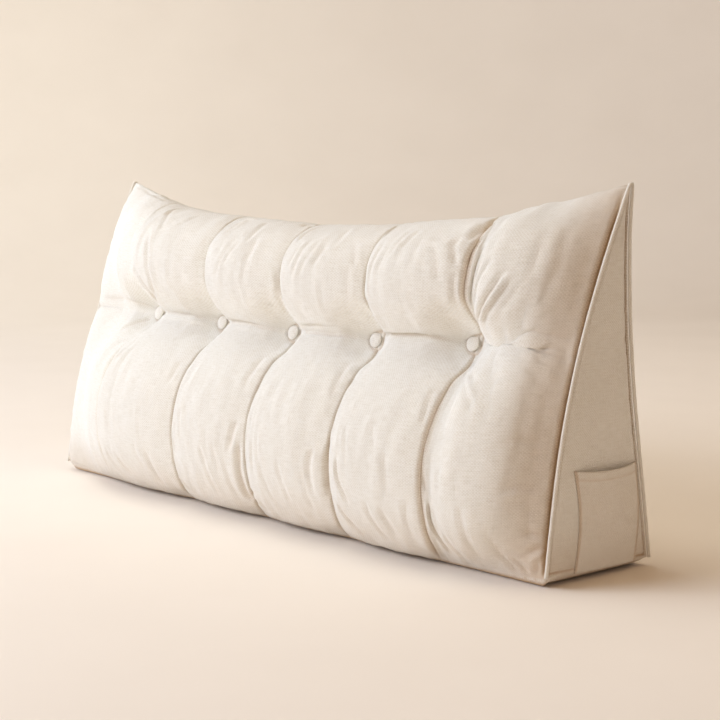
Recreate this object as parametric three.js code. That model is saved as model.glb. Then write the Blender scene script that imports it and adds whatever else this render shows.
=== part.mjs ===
// Headboard wedge pillow: a tall wedge cushion with a button-tufted front, piped side seams
// and a patch pocket on its right side panel. Millimetres, +X right, -Y front, +Z up.
// While it is built, y = 0 is the seam at the foot of the front and z = 0 is the surface it stands on.
// The whole group is then moved so that its footprint is centred on the origin.
import * as THREE from 'three';

// Side panels: a narrow triangle with a bowed front edge and a back edge that is upright above its kink
const RIM_X = 597.4;
const FRONT_LIFT = 15;
const BACK_LIFT = 11;
const FOOT_SAG = 2;
const TIP_Y = 157;
const TIP_Z = 513;
const TIP_BREADTH = 3;
const BASE_DEPTH = 198;
const KINK_Y = 156;
const KINK_Z = 310;
const BACK_DIP = 3;
const BACK_STEP = 10;
const SEAM_BOW = { left: 17, right: 27 };
const SEAM_NOTCH = { left: 6, right: 0, share: 0.56, reach: 0.07 };

// Tufting: buttons in a sagging row, one channel above and one below each, as deep as its share says
const PITCH = 200;
const BUTTONS = [
  { x: -400, y: 77, z: 293, upper: 0.55, lower: 0.3 },
  { x: -200, y: 69, z: 290, upper: 1.0, lower: 1.0 },
  { x: 0, y: 62, z: 288, upper: 1.0, lower: 1.0 },
  { x: 200, y: 60, z: 291, upper: 1.0, lower: 1.0 },
  { x: 400, y: 66, z: 300, upper: 0.95, lower: 0.8 },
];
const OUTER_BUTTON_X = 400;
const BUTTON = { radius: 12, edge: 3.6, crown: 8, back: 5, sides: 18 };
const SEAT_RADIUS = 13;
const DIMPLE_RADIUS = 58;
const DIMPLE_ROUNDNESS = 0.6;

// Height of the top edge across the width
const TOP_LINE = [
  { x: -600, z: 513 },
  { x: -500, z: 500 },
  { x: -400, z: 483 },
  { x: -300, z: 471 },
  { x: -200, z: 464 },
  { x: -100, z: 460 },
  { x: 0, z: 455 },
  { x: 100, z: 456 },
  { x: 200, z: 460 },
  { x: 300, z: 467 },
  { x: 400, z: 475 },
  { x: 500, z: 496 },
  { x: 600, z: 513 },
];

// Guide sections from the foot of the front, over the top, to the foot of the back. A row is one
// line of cloth: seam is its share of the way up the side panel's front edge or down its back edge,
// channel is its place on a section through a button, and crest on one through the middle of a puff.
const GUIDES = [
  { edge: 'front', seam: 0.0, channelY: 2, channelZ: 4, crestY: -3, crestZ: 3 },
  { edge: 'front', seam: 0.05, channelY: -14, channelZ: 29, crestY: -36, crestZ: 20 },
  { edge: 'front', seam: 0.11, channelY: -28, channelZ: 62, crestY: -57, crestZ: 53 },
  { edge: 'front', seam: 0.19, channelY: -34, channelZ: 101, crestY: -69, crestZ: 95 },
  { edge: 'front', seam: 0.28, channelY: -33, channelZ: 141, crestY: -71, crestZ: 138 },
  { edge: 'front', seam: 0.36, channelY: -23, channelZ: 181, crestY: -62, crestZ: 181 },
  { edge: 'front', seam: 0.43, channelY: -5, channelZ: 216, crestY: -43, crestZ: 219 },
  { edge: 'front', seam: 0.49, channelY: 22, channelZ: 248, crestY: -13, crestZ: 253 },
  { edge: 'front', seam: 0.53, channelY: 47, channelZ: 272, crestY: 17, crestZ: 280 },
  { edge: 'front', seam: 0.56, channelY: 64, channelZ: 291, crestY: 36, crestZ: 300 },
  { edge: 'front', seam: 0.6, channelY: 50, channelZ: 311, crestY: 18, crestZ: 317 },
  { edge: 'front', seam: 0.66, channelY: 39, channelZ: 339, crestY: 0, crestZ: 343 },
  { edge: 'front', seam: 0.73, channelY: 37, channelZ: 371, crestY: -7, crestZ: 377 },
  { edge: 'front', seam: 0.8, channelY: 46, channelZ: 403, crestY: 0, crestZ: 411 },
  { edge: 'front', seam: 0.87, channelY: 65, channelZ: 431, crestY: 23, crestZ: 438 },
  { edge: 'front', seam: 0.93, channelY: 92, channelZ: 448, crestY: 62, crestZ: 454 },
  { edge: 'front', seam: 1.0, channelY: 122, channelZ: 453, crestY: 110, crestZ: 457 },
  { edge: 'back', seam: 0.0, channelY: 150, channelZ: 446, crestY: 152, crestZ: 447 },
  { edge: 'back', seam: 0.13, channelY: 176, channelZ: 419, crestY: 182, crestZ: 419 },
  { edge: 'back', seam: 0.32, channelY: 190, channelZ: 359, crestY: 200, crestZ: 357 },
  { edge: 'back', seam: 0.52, channelY: 197, channelZ: 275, crestY: 209, crestZ: 273 },
  { edge: 'back', seam: 0.72, channelY: 203, channelZ: 180, crestY: 214, crestZ: 178 },
  { edge: 'back', seam: 0.89, channelY: 203, channelZ: 78, crestY: 211, crestZ: 76 },
  { edge: 'back', seam: 1.0, channelY: 197, channelZ: 6, crestY: 197, crestZ: 6 },
];
const LAST_ROW = GUIDES.length - 1;
const BUTTON_ROW = 9;
const TOP_ROW = 16;
const WAIST_ROWS = 1.7;
const SHIFT_ROWS = 2.2;
const TOP_ROWS = 5;

// How full a puff is across its column, and how the cloth runs out to a side seam
const PUFF = { power: 2.2, root: 0.62 };
const RUN_OUT = { power: 1.5, root: 0.95, crest: 0.5, peak: 1.3, release: 0.5 };
const FOOT_RAMP = 14;
const FOOT_POWER = 1.5;
const UNDERSIDE_Y = [184, 128, 72, 14];
const COLUMN_STATIONS = [0, 6, 13, 23, 40, 66, 100, 134, 160, 177, 187, 194];
const END_STATIONS = [0, 6, 13, 25, 44, 70, 100, 128, 152, 170, 183.4, 191, 197.4];

// Piping, gap between touching pieces, and the patch pocket (front and back edges bow a little)
const GAP = 0.3;
const PIPE = { radius: 2.5, outset: 2.06, sides: 5 };
const POCKET = { thickness: 1.8, gape: 9, belly: 0.9, across: 10, up: 9 };
const POCKET_FRONT = { y: 52, bow: 10 };
const POCKET_BACK = { y: 172, bow: 8 };
const POCKET_MOUTH = { z: 149, sag: 4, fall: 2 };

const CLOTH_COLOR = 0xeee4d3;
const PIPING_COLOR = 0xe8ddca;
const POCKET_COLOR = 0xe6dbc8;

const vector2 = (p) => new THREE.Vector2(p.y, p.z);
const smooth = (t) => THREE.MathUtils.smoothstep(t, 0, 1);
const bell = (t) => Math.exp(-t * t);

const chordAngle = Math.atan2(TIP_Y, TIP_Z - FRONT_LIFT);
const BUTTON_AXIS = new THREE.Vector3(0, -Math.cos(chordAngle), Math.sin(chordAngle));

// Front edge of a side panel: the straight line to the tip, bowed forward
function frontEdge(share, side) {
  const key = side > 0 ? 'right' : 'left';
  const notch = SEAM_NOTCH[key] * bell((share - SEAM_NOTCH.share) / SEAM_NOTCH.reach);
  const out = SEAM_BOW[key] * Math.sin(Math.PI * share) - notch;
  return {
    y: TIP_Y * share + BUTTON_AXIS.y * out,
    z: FRONT_LIFT + (TIP_Z - FRONT_LIFT) * share + BUTTON_AXIS.z * out,
  };
}

const BACK_EDGE = new THREE.SplineCurve(
  [
    { y: TIP_Y + TIP_BREADTH, z: TIP_Z - 1 },
    { y: KINK_Y, z: KINK_Z + 140 },
    { y: KINK_Y - BACK_DIP, z: KINK_Z + 90 },
    { y: KINK_Y + 1, z: KINK_Z + 40 },
    { y: KINK_Y, z: KINK_Z },
    { y: KINK_Y + BACK_STEP, z: KINK_Z - 66 },
    { y: KINK_Y + 2 * BACK_STEP, z: KINK_Z - 142 },
    { y: KINK_Y + 3.2 * BACK_STEP, z: KINK_Z - 222 },
    { y: BASE_DEPTH, z: BACK_LIFT },
  ].map(vector2),
);

function seamPoint(row, side) {
  if (row.edge === 'front') {
    return vector2(frontEdge(row.seam, side));
  }
  return BACK_EDGE.getPointAt(row.seam);
}

// The guides and the top line as smooth curves; a Vector2 holds (y, z) of a section
const guideCurve = (y, z) => new THREE.SplineCurve(GUIDES.map((row) => new THREE.Vector2(row[y], row[z])));
const CHANNEL_GUIDE = guideCurve('channelY', 'channelZ');
const CREST_GUIDE = guideCurve('crestY', 'crestZ');
const SEAM_GUIDES = {
  left: new THREE.SplineCurve(GUIDES.map((row) => seamPoint(row, -1))),
  right: new THREE.SplineCurve(GUIDES.map((row) => seamPoint(row, 1))),
};
const TOP_CURVE = new THREE.SplineCurve(TOP_LINE.map((p) => new THREE.Vector2(p.x, p.z)));
const TOP_SPAN = TOP_LINE[TOP_LINE.length - 1].x - TOP_LINE[0].x;
const topHeight = (x) => TOP_CURVE.getPoint((x - TOP_LINE[0].x) / TOP_SPAN).y;

// Place along the row of buttons, from 0 at the first to one less than their number
const buttonPlace = (x) => THREE.MathUtils.clamp((x - BUTTONS[0].x) / PITCH, 0, BUTTONS.length - 1);

// How far the button row's own place differs from the guides' waist, blended between buttons
function buttonShift(x) {
  const place = buttonPlace(x);
  const low = Math.min(BUTTONS.length - 2, Math.floor(place));
  const at = (key) => THREE.MathUtils.lerp(BUTTONS[low][key], BUTTONS[low + 1][key], place - low);
  return new THREE.Vector2(at('y') - GUIDES[BUTTON_ROW].channelY, at('z') - GUIDES[BUTTON_ROW].channelZ);
}

// How far a row lies out towards the puffs' crest: 0 in a full channel, 1 on a crest
function crestShare(x, row) {
  const nearest = BUTTONS[Math.round(buttonPlace(x))];
  const plain = row > BUTTON_ROW ? nearest.upper : nearest.lower;
  const depth = THREE.MathUtils.lerp(plain, 1, bell((row - BUTTON_ROW) / WAIST_ROWS));
  const end = Math.max(0, (Math.abs(x) - OUTER_BUTTON_X) / (RIM_X - OUTER_BUTTON_X));
  if (end > 0) {
    const hump = Math.sin(Math.PI * Math.min(1, end * RUN_OUT.peak)) ** 2;
    return (1 - depth) * (1 - smooth(end / RUN_OUT.release)) + RUN_OUT.crest * hump;
  }
  const fromCrest = Math.abs(((Math.abs(x) / PITCH) % 1) * 2 - 1);
  return 1 - depth * (1 - (1 - fromCrest ** PUFF.power) ** PUFF.root);
}

// A section point before its height is set to the top line
function sectionPoint(x, row) {
  const s = row / LAST_ROW;
  const p = CHANNEL_GUIDE.getPoint(s).lerp(CREST_GUIDE.getPoint(s), crestShare(x, row));
  p.addScaledVector(buttonShift(x), bell((row - BUTTON_ROW) / SHIFT_ROWS));
  const end = Math.max(0, (Math.abs(x) - OUTER_BUTTON_X) / (RIM_X - OUTER_BUTTON_X));
  if (end > 0) {
    const seam = (x > 0 ? SEAM_GUIDES.right : SEAM_GUIDES.left).getPoint(s);
    p.lerpVectors(seam, p, (1 - Math.min(1, end) ** RUN_OUT.power) ** RUN_OUT.root);
  }
  return p;
}

// A point of the cover: row 0 is the foot of the front and the last row is the foot of the back
function coverPoint(x, row) {
  const p = sectionPoint(x, row);
  const fromTop = Math.abs(row - TOP_ROW) / TOP_ROWS;
  p.y += (topHeight(x) - sectionPoint(x, TOP_ROW).y) * smooth(1 - fromTop);
  return new THREE.Vector3(x, p.x, p.y);
}

// Round each button the cover is drawn in to a small flat seat
function seatedPoint(x, row) {
  const p = coverPoint(x, row);
  if (row > BUTTON_ROW + TOP_ROWS) {
    return p;
  }
  for (const button of BUTTONS) {
    const offset = p.clone().sub(new THREE.Vector3(button.x, button.y, button.z));
    const height = offset.dot(BUTTON_AXIS);
    const radius = offset.addScaledVector(BUTTON_AXIS, -height).length();
    const keep = smooth((radius - SEAT_RADIUS) / (DIMPLE_RADIUS - SEAT_RADIUS)) ** DIMPLE_ROUNDNESS;
    p.addScaledVector(BUTTON_AXIS, height * (keep - 1));
  }
  return p;
}

// Height of the seam at the foot of a side panel, a share of the way back
function footSeam(share) {
  return THREE.MathUtils.lerp(FRONT_LIFT, BACK_LIFT, share) - FOOT_SAG * Math.sin(Math.PI * share);
}

// The underside is flat on the surface and lifts to the seam of each side panel
function undersidePoint(x, y) {
  const rise = Math.max(0, 1 - (RIM_X - Math.abs(x)) / FOOT_RAMP);
  return new THREE.Vector3(x, y, footSeam(y / BASE_DEPTH) * rise ** FOOT_POWER);
}

// Rows that are meshed: half rows over the front and the top, whole rows down the back
function meshedRows() {
  const rows = [];
  for (let row = 0; row <= LAST_ROW; row += row < TOP_ROW + 2 ? 0.5 : 1) {
    rows.push(row);
  }
  return rows;
}

function stations() {
  const right = END_STATIONS.map((d) => OUTER_BUTTON_X + d);
  const left = right.slice(1).map((x) => -x).reverse();
  const middle = [];
  for (let start = -OUTER_BUTTON_X; start < OUTER_BUTTON_X; start += PITCH) {
    middle.push(...COLUMN_STATIONS.map((d) => start + d));
  }
  return [...left, ...middle, ...right];
}

function meshGeometry(positions, index) {
  const geometry = new THREE.BufferGeometry();
  geometry.setAttribute('position', new THREE.Float32BufferAttribute(positions, 3));
  geometry.setIndex(index);
  geometry.computeVertexNormals();
  return geometry;
}

function cushionGeometry() {
  const xs = stations();
  const rows = meshedRows();
  const loops = xs.map((x) => [
    ...rows.map((row) => seatedPoint(x, row)),
    ...UNDERSIDE_Y.map((y) => undersidePoint(x, y)),
  ]);
  const count = loops[0].length;
  const index = [];
  for (let i = 0; i < xs.length - 1; i += 1) {
    for (let j = 0; j < count; j += 1) {
      const a = i * count + j;
      const b = i * count + ((j + 1) % count);
      index.push(a, a + count, b, b, a + count, b + count);
    }
  }
  for (const at of [0, xs.length - 1]) {
    const outline = loops[at].map(vector2);
    const outwards = at === 0 ? -1 : 1;
    for (const [a, b, c] of THREE.ShapeUtils.triangulateShape(outline, [])) {
      const base = at * count;
      const turned = THREE.ShapeUtils.area([outline[a], outline[b], outline[c]]) * outwards > 0;
      index.push(base + a, base + (turned ? b : c), base + (turned ? c : b));
    }
  }
  return meshGeometry(loops.flat().flatMap((p) => p.toArray()), index);
}

// A path whose steps follow its own points, so that they stay close together over the tip
class SeamPath extends THREE.CatmullRomCurve3 {
  getPointAt(t, target) {
    return this.getPoint(t, target);
  }

  getTangentAt(t, target) {
    return this.getTangent(t, target);
  }
}

// Piping: a round cord outside the seam, up the front edge, over the tip and down the back edge
function pipingGeometry(side) {
  const guide = side > 0 ? SEAM_GUIDES.right : SEAM_GUIDES.left;
  const rows = meshedRows().flatMap((row) => (Math.floor(row) === TOP_ROW ? [row, row + 0.25] : [row]));
  const points = rows.map((row) => {
    const p = guide.getPoint(row / LAST_ROW);
    const tangent = guide.getTangent(row / LAST_ROW);
    return new THREE.Vector3(
      side * (RIM_X + PIPE.outset),
      p.x - tangent.y * PIPE.outset,
      p.y + tangent.x * PIPE.outset,
    );
  });
  const circle = new THREE.Shape();
  circle.absarc(0, 0, PIPE.radius, 0, 2 * Math.PI);
  return new THREE.ExtrudeGeometry(circle, {
    steps: points.length - 1,
    curveSegments: PIPE.sides,
    extrudePath: new SeamPath(points),
    bevelEnabled: false,
  });
}

// Covered button: a domed disc with a narrower back
function buttonGeometry() {
  const { radius, edge, crown, back } = BUTTON;
  const profile = [
    [0, GAP],
    [back, GAP],
    [radius * 0.9, edge * 0.6],
    [radius, edge],
    [radius * 0.92, edge + (crown - edge) * 0.36],
    [radius * 0.68, edge + (crown - edge) * 0.74],
    [radius * 0.34, edge + (crown - edge) * 0.95],
    [0, crown],
  ];
  return new THREE.LatheGeometry(profile.map(([r, h]) => new THREE.Vector2(r, h)), BUTTON.sides);
}

// Patch pocket: one sheet of cloth, flat on the side panel at its sewn edges and proud of it at the mouth
function pocketGeometry() {
  const { thickness, gape, belly, across, up } = POCKET;
  const sheet = [];
  for (const lift of [0, thickness]) {
    for (let i = 0; i <= up; i += 1) {
      const b = i / up;
      const front = POCKET_FRONT.y + POCKET_FRONT.bow * Math.sin(Math.PI * b);
      const back = POCKET_BACK.y + POCKET_BACK.bow * Math.sin(Math.PI * b);
      for (let j = 0; j <= across; j += 1) {
        const a = j / across;
        const middle = 4 * a * (1 - a);
        const foot = footSeam(THREE.MathUtils.lerp(POCKET_FRONT.y, POCKET_BACK.y, a) / BASE_DEPTH);
        const mouth = POCKET_MOUTH.z - POCKET_MOUTH.sag * middle - POCKET_MOUTH.fall * a;
        const x = RIM_X + GAP + gape * middle * b ** belly + lift;
        sheet.push([x, THREE.MathUtils.lerp(front, back, a), THREE.MathUtils.lerp(foot, mouth, b)]);
      }
    }
  }
  const width = across + 1;
  const inner = (i, j) => i * width + j;
  const outer = (i, j) => (up + 1) * width + i * width + j;
  const index = [];
  const quad = (a, b, c, d) => index.push(a, b, c, a, c, d);
  for (let i = 0; i < up; i += 1) {
    for (let j = 0; j < across; j += 1) {
      quad(outer(i, j), outer(i, j + 1), outer(i + 1, j + 1), outer(i + 1, j));
      quad(inner(i, j), inner(i + 1, j), inner(i + 1, j + 1), inner(i, j + 1));
    }
    quad(outer(i, 0), outer(i + 1, 0), inner(i + 1, 0), inner(i, 0));
    quad(outer(i + 1, across), outer(i, across), inner(i, across), inner(i + 1, across));
  }
  for (let j = 0; j < across; j += 1) {
    quad(outer(0, j + 1), outer(0, j), inner(0, j), inner(0, j + 1));
    quad(outer(up, j), outer(up, j + 1), inner(up, j + 1), inner(up, j));
  }
  return meshGeometry(sheet.flat(), index);
}

const cloth = new THREE.MeshStandardMaterial({ color: CLOTH_COLOR, roughness: 0.92, metalness: 0 });
const pipingCloth = new THREE.MeshStandardMaterial({ color: PIPING_COLOR, roughness: 0.9, metalness: 0 });
const buttonCloth = new THREE.MeshStandardMaterial({ color: CLOTH_COLOR, roughness: 0.88, metalness: 0 });
const pocketCloth = new THREE.MeshStandardMaterial({ color: POCKET_COLOR, roughness: 0.92, metalness: 0 });

const pillow = new THREE.Group();

function addMesh(name, geometry, material) {
  const mesh = new THREE.Mesh(geometry, material);
  mesh.name = name;
  pillow.add(mesh);
  return mesh;
}

addMesh('cushion', cushionGeometry(), cloth);
addMesh('piping_left', pipingGeometry(-1), pipingCloth);
addMesh('piping_right', pipingGeometry(1), pipingCloth);
addMesh('side_pocket', pocketGeometry(), pocketCloth);
BUTTONS.forEach((button, i) => {
  const mesh = addMesh(`button_${i + 1}`, buttonGeometry(), buttonCloth);
  mesh.position.set(button.x, button.y, button.z);
  mesh.quaternion.setFromUnitVectors(new THREE.Vector3(0, 1, 0), BUTTON_AXIS);
});

const footprint = new THREE.Box3().setFromObject(pillow, true).getCenter(new THREE.Vector3());
pillow.position.set(-footprint.x, -footprint.y, 0);

export default pillow;
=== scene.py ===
import math

import bmesh
import bpy
import numpy as np
from mathutils import Matrix, Vector


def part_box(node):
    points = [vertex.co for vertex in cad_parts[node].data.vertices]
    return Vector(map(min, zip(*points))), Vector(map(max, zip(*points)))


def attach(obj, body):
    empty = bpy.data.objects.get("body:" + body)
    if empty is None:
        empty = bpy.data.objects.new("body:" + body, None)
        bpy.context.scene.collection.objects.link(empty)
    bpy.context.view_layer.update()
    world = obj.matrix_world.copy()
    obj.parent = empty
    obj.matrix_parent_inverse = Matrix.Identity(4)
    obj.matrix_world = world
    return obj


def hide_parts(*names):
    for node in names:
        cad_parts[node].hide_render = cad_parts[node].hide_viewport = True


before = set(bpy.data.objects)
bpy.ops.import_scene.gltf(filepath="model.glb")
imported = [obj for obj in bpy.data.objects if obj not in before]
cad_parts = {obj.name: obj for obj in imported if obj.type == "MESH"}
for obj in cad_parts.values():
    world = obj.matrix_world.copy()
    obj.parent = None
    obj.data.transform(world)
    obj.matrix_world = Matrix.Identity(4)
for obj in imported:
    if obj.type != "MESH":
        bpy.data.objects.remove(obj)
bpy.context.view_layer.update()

MM = 0.001
BODY = "root"
SEED = 7
NOISE_SIZE = 64

# How many points stand for a smooth line where its length, or the distance to it, is measured
EDGE_SAMPLES = 201
ROW_SAMPLES = 400
RUN_SAMPLES = 900
CREASE_SAMPLES = 60
FOLD_SAMPLES = 40
SEAM_SAMPLES = 700
PIPE_SAMPLES = 3000

# The camera, as solved from the photo
CAMERA_PLACE = (2.0747, -1.6243, 0.557)
CAMERA_YAW = 49.95
CAMERA_PITCH = 6.8
CAMERA_ROLL = -0.8
CAMERA_LENS = 84.5
CAMERA_SENSOR = 36.0

# The edges of the side panels, in the plane of the panel
RIM_X = 597.4
FRONT_LIFT = 15.0
BACK_LIFT = 11.0
FOOT_SAG = 2.0
TIP_Y = 157.0
TIP_Z = 513.0
TIP_BREADTH = 3.0
BASE_DEPTH = 198.0
KINK_Y = 156.0
KINK_Z = 310.0
BACK_DIP = 3.0
BACK_STEP = 10.0
SEAM_BOW = {-1: 17.0, 1: 27.0}
SEAM_NOTCH = {-1: 6.0, 1: 0.0}
NOTCH_SHARE = 0.56
NOTCH_REACH = 0.07

# Tufting
PITCH = 200.0
# x, y, z of each button, and how deep the channels above and below it are
BUTTONS = np.array([
    (-400, 77, 293, 0.55, 0.3),
    (-200, 69, 290, 1.0, 1.0),
    (0, 62, 288, 1.0, 1.0),
    (200, 60, 291, 1.0, 1.0),
    (400, 66, 300, 0.95, 0.8),
], float)
OUTER_BUTTON_X = 400.0
SEAT_RADIUS = 13.0
DIMPLE_RADIUS = 58.0
DIMPLE_ROUNDNESS = 0.6
TOP_LINE_STEP = 100.0
TOP_LINE = np.array([513, 500, 483, 471, 464, 460, 455, 456, 460, 467, 475, 496, 513], float)

# Guide sections: share of the side edge, y and z on a channel, y and z on a crest
FRONT_GUIDES = [
    (0.0, 2, 4, -3, 3), (0.05, -14, 29, -36, 20), (0.11, -28, 62, -57, 53), (0.19, -34, 101, -69, 95),
    (0.28, -33, 141, -71, 138), (0.36, -23, 181, -62, 181), (0.43, -5, 216, -43, 219),
    (0.49, 22, 248, -13, 253), (0.53, 47, 272, 17, 280), (0.56, 64, 291, 36, 300), (0.6, 50, 311, 18, 317),
    (0.66, 39, 339, 0, 343), (0.73, 37, 371, -7, 377), (0.8, 46, 403, 0, 411), (0.87, 65, 431, 23, 438),
    (0.93, 92, 448, 62, 454), (1.0, 122, 453, 110, 457),
]
BACK_GUIDES = [
    (0.0, 150, 446, 152, 447), (0.13, 176, 419, 182, 419), (0.32, 190, 359, 200, 357),
    (0.52, 197, 275, 209, 273), (0.72, 203, 180, 214, 178), (0.89, 203, 78, 211, 76), (1.0, 197, 6, 197, 6),
]
GUIDES = FRONT_GUIDES + BACK_GUIDES
LAST_ROW = len(GUIDES) - 1
BUTTON_ROW = 9
TOP_ROW = len(FRONT_GUIDES) - 1
BACK_ROW = TOP_ROW + 1
SEATED_ROWS = 14
# How far along the rows each form reaches, and how round the puffs and the end columns are
WAIST_ROWS = 1.7
SHIFT_ROWS = 2.2
TOP_ROWS = 5.0
PUFF_POWER = 2.2
PUFF_ROOT = 0.62
RUN_POWER = 1.5
RUN_ROOT = 0.95
RUN_CREST = 0.5
RUN_PEAK = 1.3
RUN_RELEASE = 0.5
FOOT_RAMP = 14.0

# Mesh of the cover: rows up the front and over the top, and the columns' places in a puff and at an end
FRONT_STEPS = 84
TOP_STEPS = 12
HALF_PUFF = [0, 2.5, 5.5, 9.5, 14.5, 20.5, 27, 34, 41, 48, 55, 62, 69, 76.5, 84, 92, 100]
END_COLUMN = [
    0, 2.5, 5.5, 9.5, 14.5, 20.5, 27, 34, 41, 48, 55.5, 63, 71, 79.5, 88.5, 98, 108, 118.5, 129, 139.5, 149.5,
    159, 168, 177, 184.5, 189, 192.2, 194.8, 197.4,
]
FINE_ROWS_BEHIND = 2
MIDDLE_ROWS_BEHIND = 3
UNDERSIDE_Y = [194.5, 190, 182, 158, 129, 99, 69, 40, 17, 9, 5]
UNDERSIDE_Z = [3, 1, 0, 0, 0, 0, 0, 0, 0, 0.7, 2]
# Where the points across a side panel lie, as shares of its breadth from front to back
SIDE_SHARES = [0, 0.018, 0.04, 0.085, 0.2, 0.35, 0.5, 0.65, 0.8, 0.92, 0.96, 0.982, 1]

# The channels are lifted slantwise, so that the puffs lie flatter and lean over the channel on their left
LIFT_OUT = 18.0
LIFT_ACROSS = 21.4
LEAN_ABOVE = 12.0
LEAN_BELOW = 6.0
LEAN_REACH = 60.0
LIFT_WAIST_ROWS = 1.6
LIFT_FOOT_ROWS = 1.5
LIFT_TOP_ROWS = 2.5


def smooth(t):
    t = np.clip(t, 0.0, 1.0)
    return t * t * (3.0 - 2.0 * t)


def bell(t):
    return np.exp(-np.square(t))


def mix(a, b, share):
    return a * (1.0 - share) + b * share


def run_along(line):
    """The length along a line of points, from its first point to each one."""
    return np.concatenate([[0.0], np.cumsum(np.linalg.norm(np.diff(line, axis=0), axis=1))])


def unit_rows(vectors):
    return vectors / np.linalg.norm(vectors, axis=1)[:, None]


def catmull(points, t):
    """A smooth curve through points, at t from 0 to one less than their number."""
    points = np.asarray(points, float)
    last = len(points) - 1
    t = np.clip(np.asarray(t, float), 0, last)
    i = np.minimum(t.astype(int), last - 1)
    w = (t - i)[..., None]
    p0 = points[np.maximum(i - 1, 0)]
    p1 = points[i]
    p2 = points[i + 1]
    p3 = points[np.minimum(i + 2, last)]
    v0 = (p2 - p0) / 2
    v1 = (p3 - p1) / 2
    return (2 * p1 - 2 * p2 + v0 + v1) * w**3 + (-3 * p1 + 3 * p2 - 2 * v0 - v1) * w**2 + v0 * w + p1


CHORD_ANGLE = math.atan2(TIP_Y, TIP_Z - FRONT_LIFT)
BUTTON_AXIS = np.array([0.0, -math.cos(CHORD_ANGLE), math.sin(CHORD_ANGLE)])
BACK_EDGE = [
    (TIP_Y + TIP_BREADTH, TIP_Z - 1),
    (KINK_Y, KINK_Z + 140),
    (KINK_Y - BACK_DIP, KINK_Z + 90),
    (KINK_Y + 1, KINK_Z + 40),
    (KINK_Y, KINK_Z),
    (KINK_Y + BACK_STEP, KINK_Z - 66),
    (KINK_Y + 2 * BACK_STEP, KINK_Z - 142),
    (KINK_Y + 3.2 * BACK_STEP, KINK_Z - 222),
    (BASE_DEPTH, BACK_LIFT),
]


def front_edge(share, side):
    """Front edge of a side panel: the straight line to the tip, bowed forward."""
    notch = SEAM_NOTCH[side] * bell((share - NOTCH_SHARE) / NOTCH_REACH)
    out = SEAM_BOW[side] * math.sin(math.pi * share) - notch
    y = TIP_Y * share + BUTTON_AXIS[1] * out
    z = FRONT_LIFT + (TIP_Z - FRONT_LIFT) * share + BUTTON_AXIS[2] * out
    return (y, z)


def back_edge(share):
    """Back edge of a side panel, a share of its length down from the tip."""
    t = np.linspace(0, len(BACK_EDGE) - 1, EDGE_SAMPLES)
    run = run_along(catmull(BACK_EDGE, t))
    return catmull(BACK_EDGE, np.interp(share * run[-1], run, t))


def seam_guide(side):
    front = [front_edge(row[0], side) for row in FRONT_GUIDES]
    back = [tuple(back_edge(row[0])) for row in BACK_GUIDES]
    return np.array(front + back)


CHANNEL_GUIDE = np.array([row[1:3] for row in GUIDES], float)
CREST_GUIDE = np.array([row[3:5] for row in GUIDES], float)
SEAM_GUIDES = {side: seam_guide(side) for side in (-1, 1)}


def top_height(x):
    middle = (len(TOP_LINE) - 1) / 2
    return catmull(TOP_LINE[:, None], x / TOP_LINE_STEP + middle)[..., 0]


def button_place(x):
    return np.clip((x - BUTTONS[0, 0]) / PITCH, 0, len(BUTTONS) - 1)


def button_shift(x):
    """How far the button row's own place differs from the guides' waist."""
    place = button_place(x)
    low = np.minimum(len(BUTTONS) - 2, np.floor(place).astype(int))
    share = (place - low)[..., None]
    places = BUTTONS[:, 1:3]
    return mix(places[low], places[low + 1], share) - CHANNEL_GUIDE[BUTTON_ROW]


def end_share(x):
    """0 up to the outer button and 1 at the side seam."""
    return np.clip((np.abs(x) - OUTER_BUTTON_X) / (RIM_X - OUTER_BUTTON_X), 0, 1)


def crest_share(x, row):
    """How far a row lies out towards the puffs' crest: 0 in a full channel, 1 on a crest."""
    nearest = np.floor(button_place(x) + 0.5).astype(int)
    plain = np.where(row > BUTTON_ROW, BUTTONS[nearest, 3], BUTTONS[nearest, 4])
    depth = mix(plain, 1.0, bell((row - BUTTON_ROW) / WAIST_ROWS))
    end = end_share(x)
    hump = np.sin(np.pi * np.minimum(1, end * RUN_PEAK)) ** 2
    outer = (1 - depth) * (1 - smooth(end / RUN_RELEASE)) + RUN_CREST * hump
    from_crest = np.abs(((np.abs(x) / PITCH) % 1) * 2 - 1)
    inner = 1 - depth * (1 - (1 - from_crest**PUFF_POWER) ** PUFF_ROOT)
    return np.where(end > 0, outer, inner)


def section_point(x, row):
    crest = crest_share(x, row)[..., None]
    p = mix(catmull(CHANNEL_GUIDE, row), catmull(CREST_GUIDE, row), crest)
    p = p + button_shift(x) * bell((row - BUTTON_ROW) / SHIFT_ROWS)[..., None]
    end = end_share(x)
    keep = ((1 - end**RUN_POWER) ** RUN_ROOT)[..., None]
    right = catmull(SEAM_GUIDES[1], row)
    left = catmull(SEAM_GUIDES[-1], row)
    seam = np.where((x > 0)[..., None], right, left)
    return np.where((end > 0)[..., None], mix(seam, p, keep), p)


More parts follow.
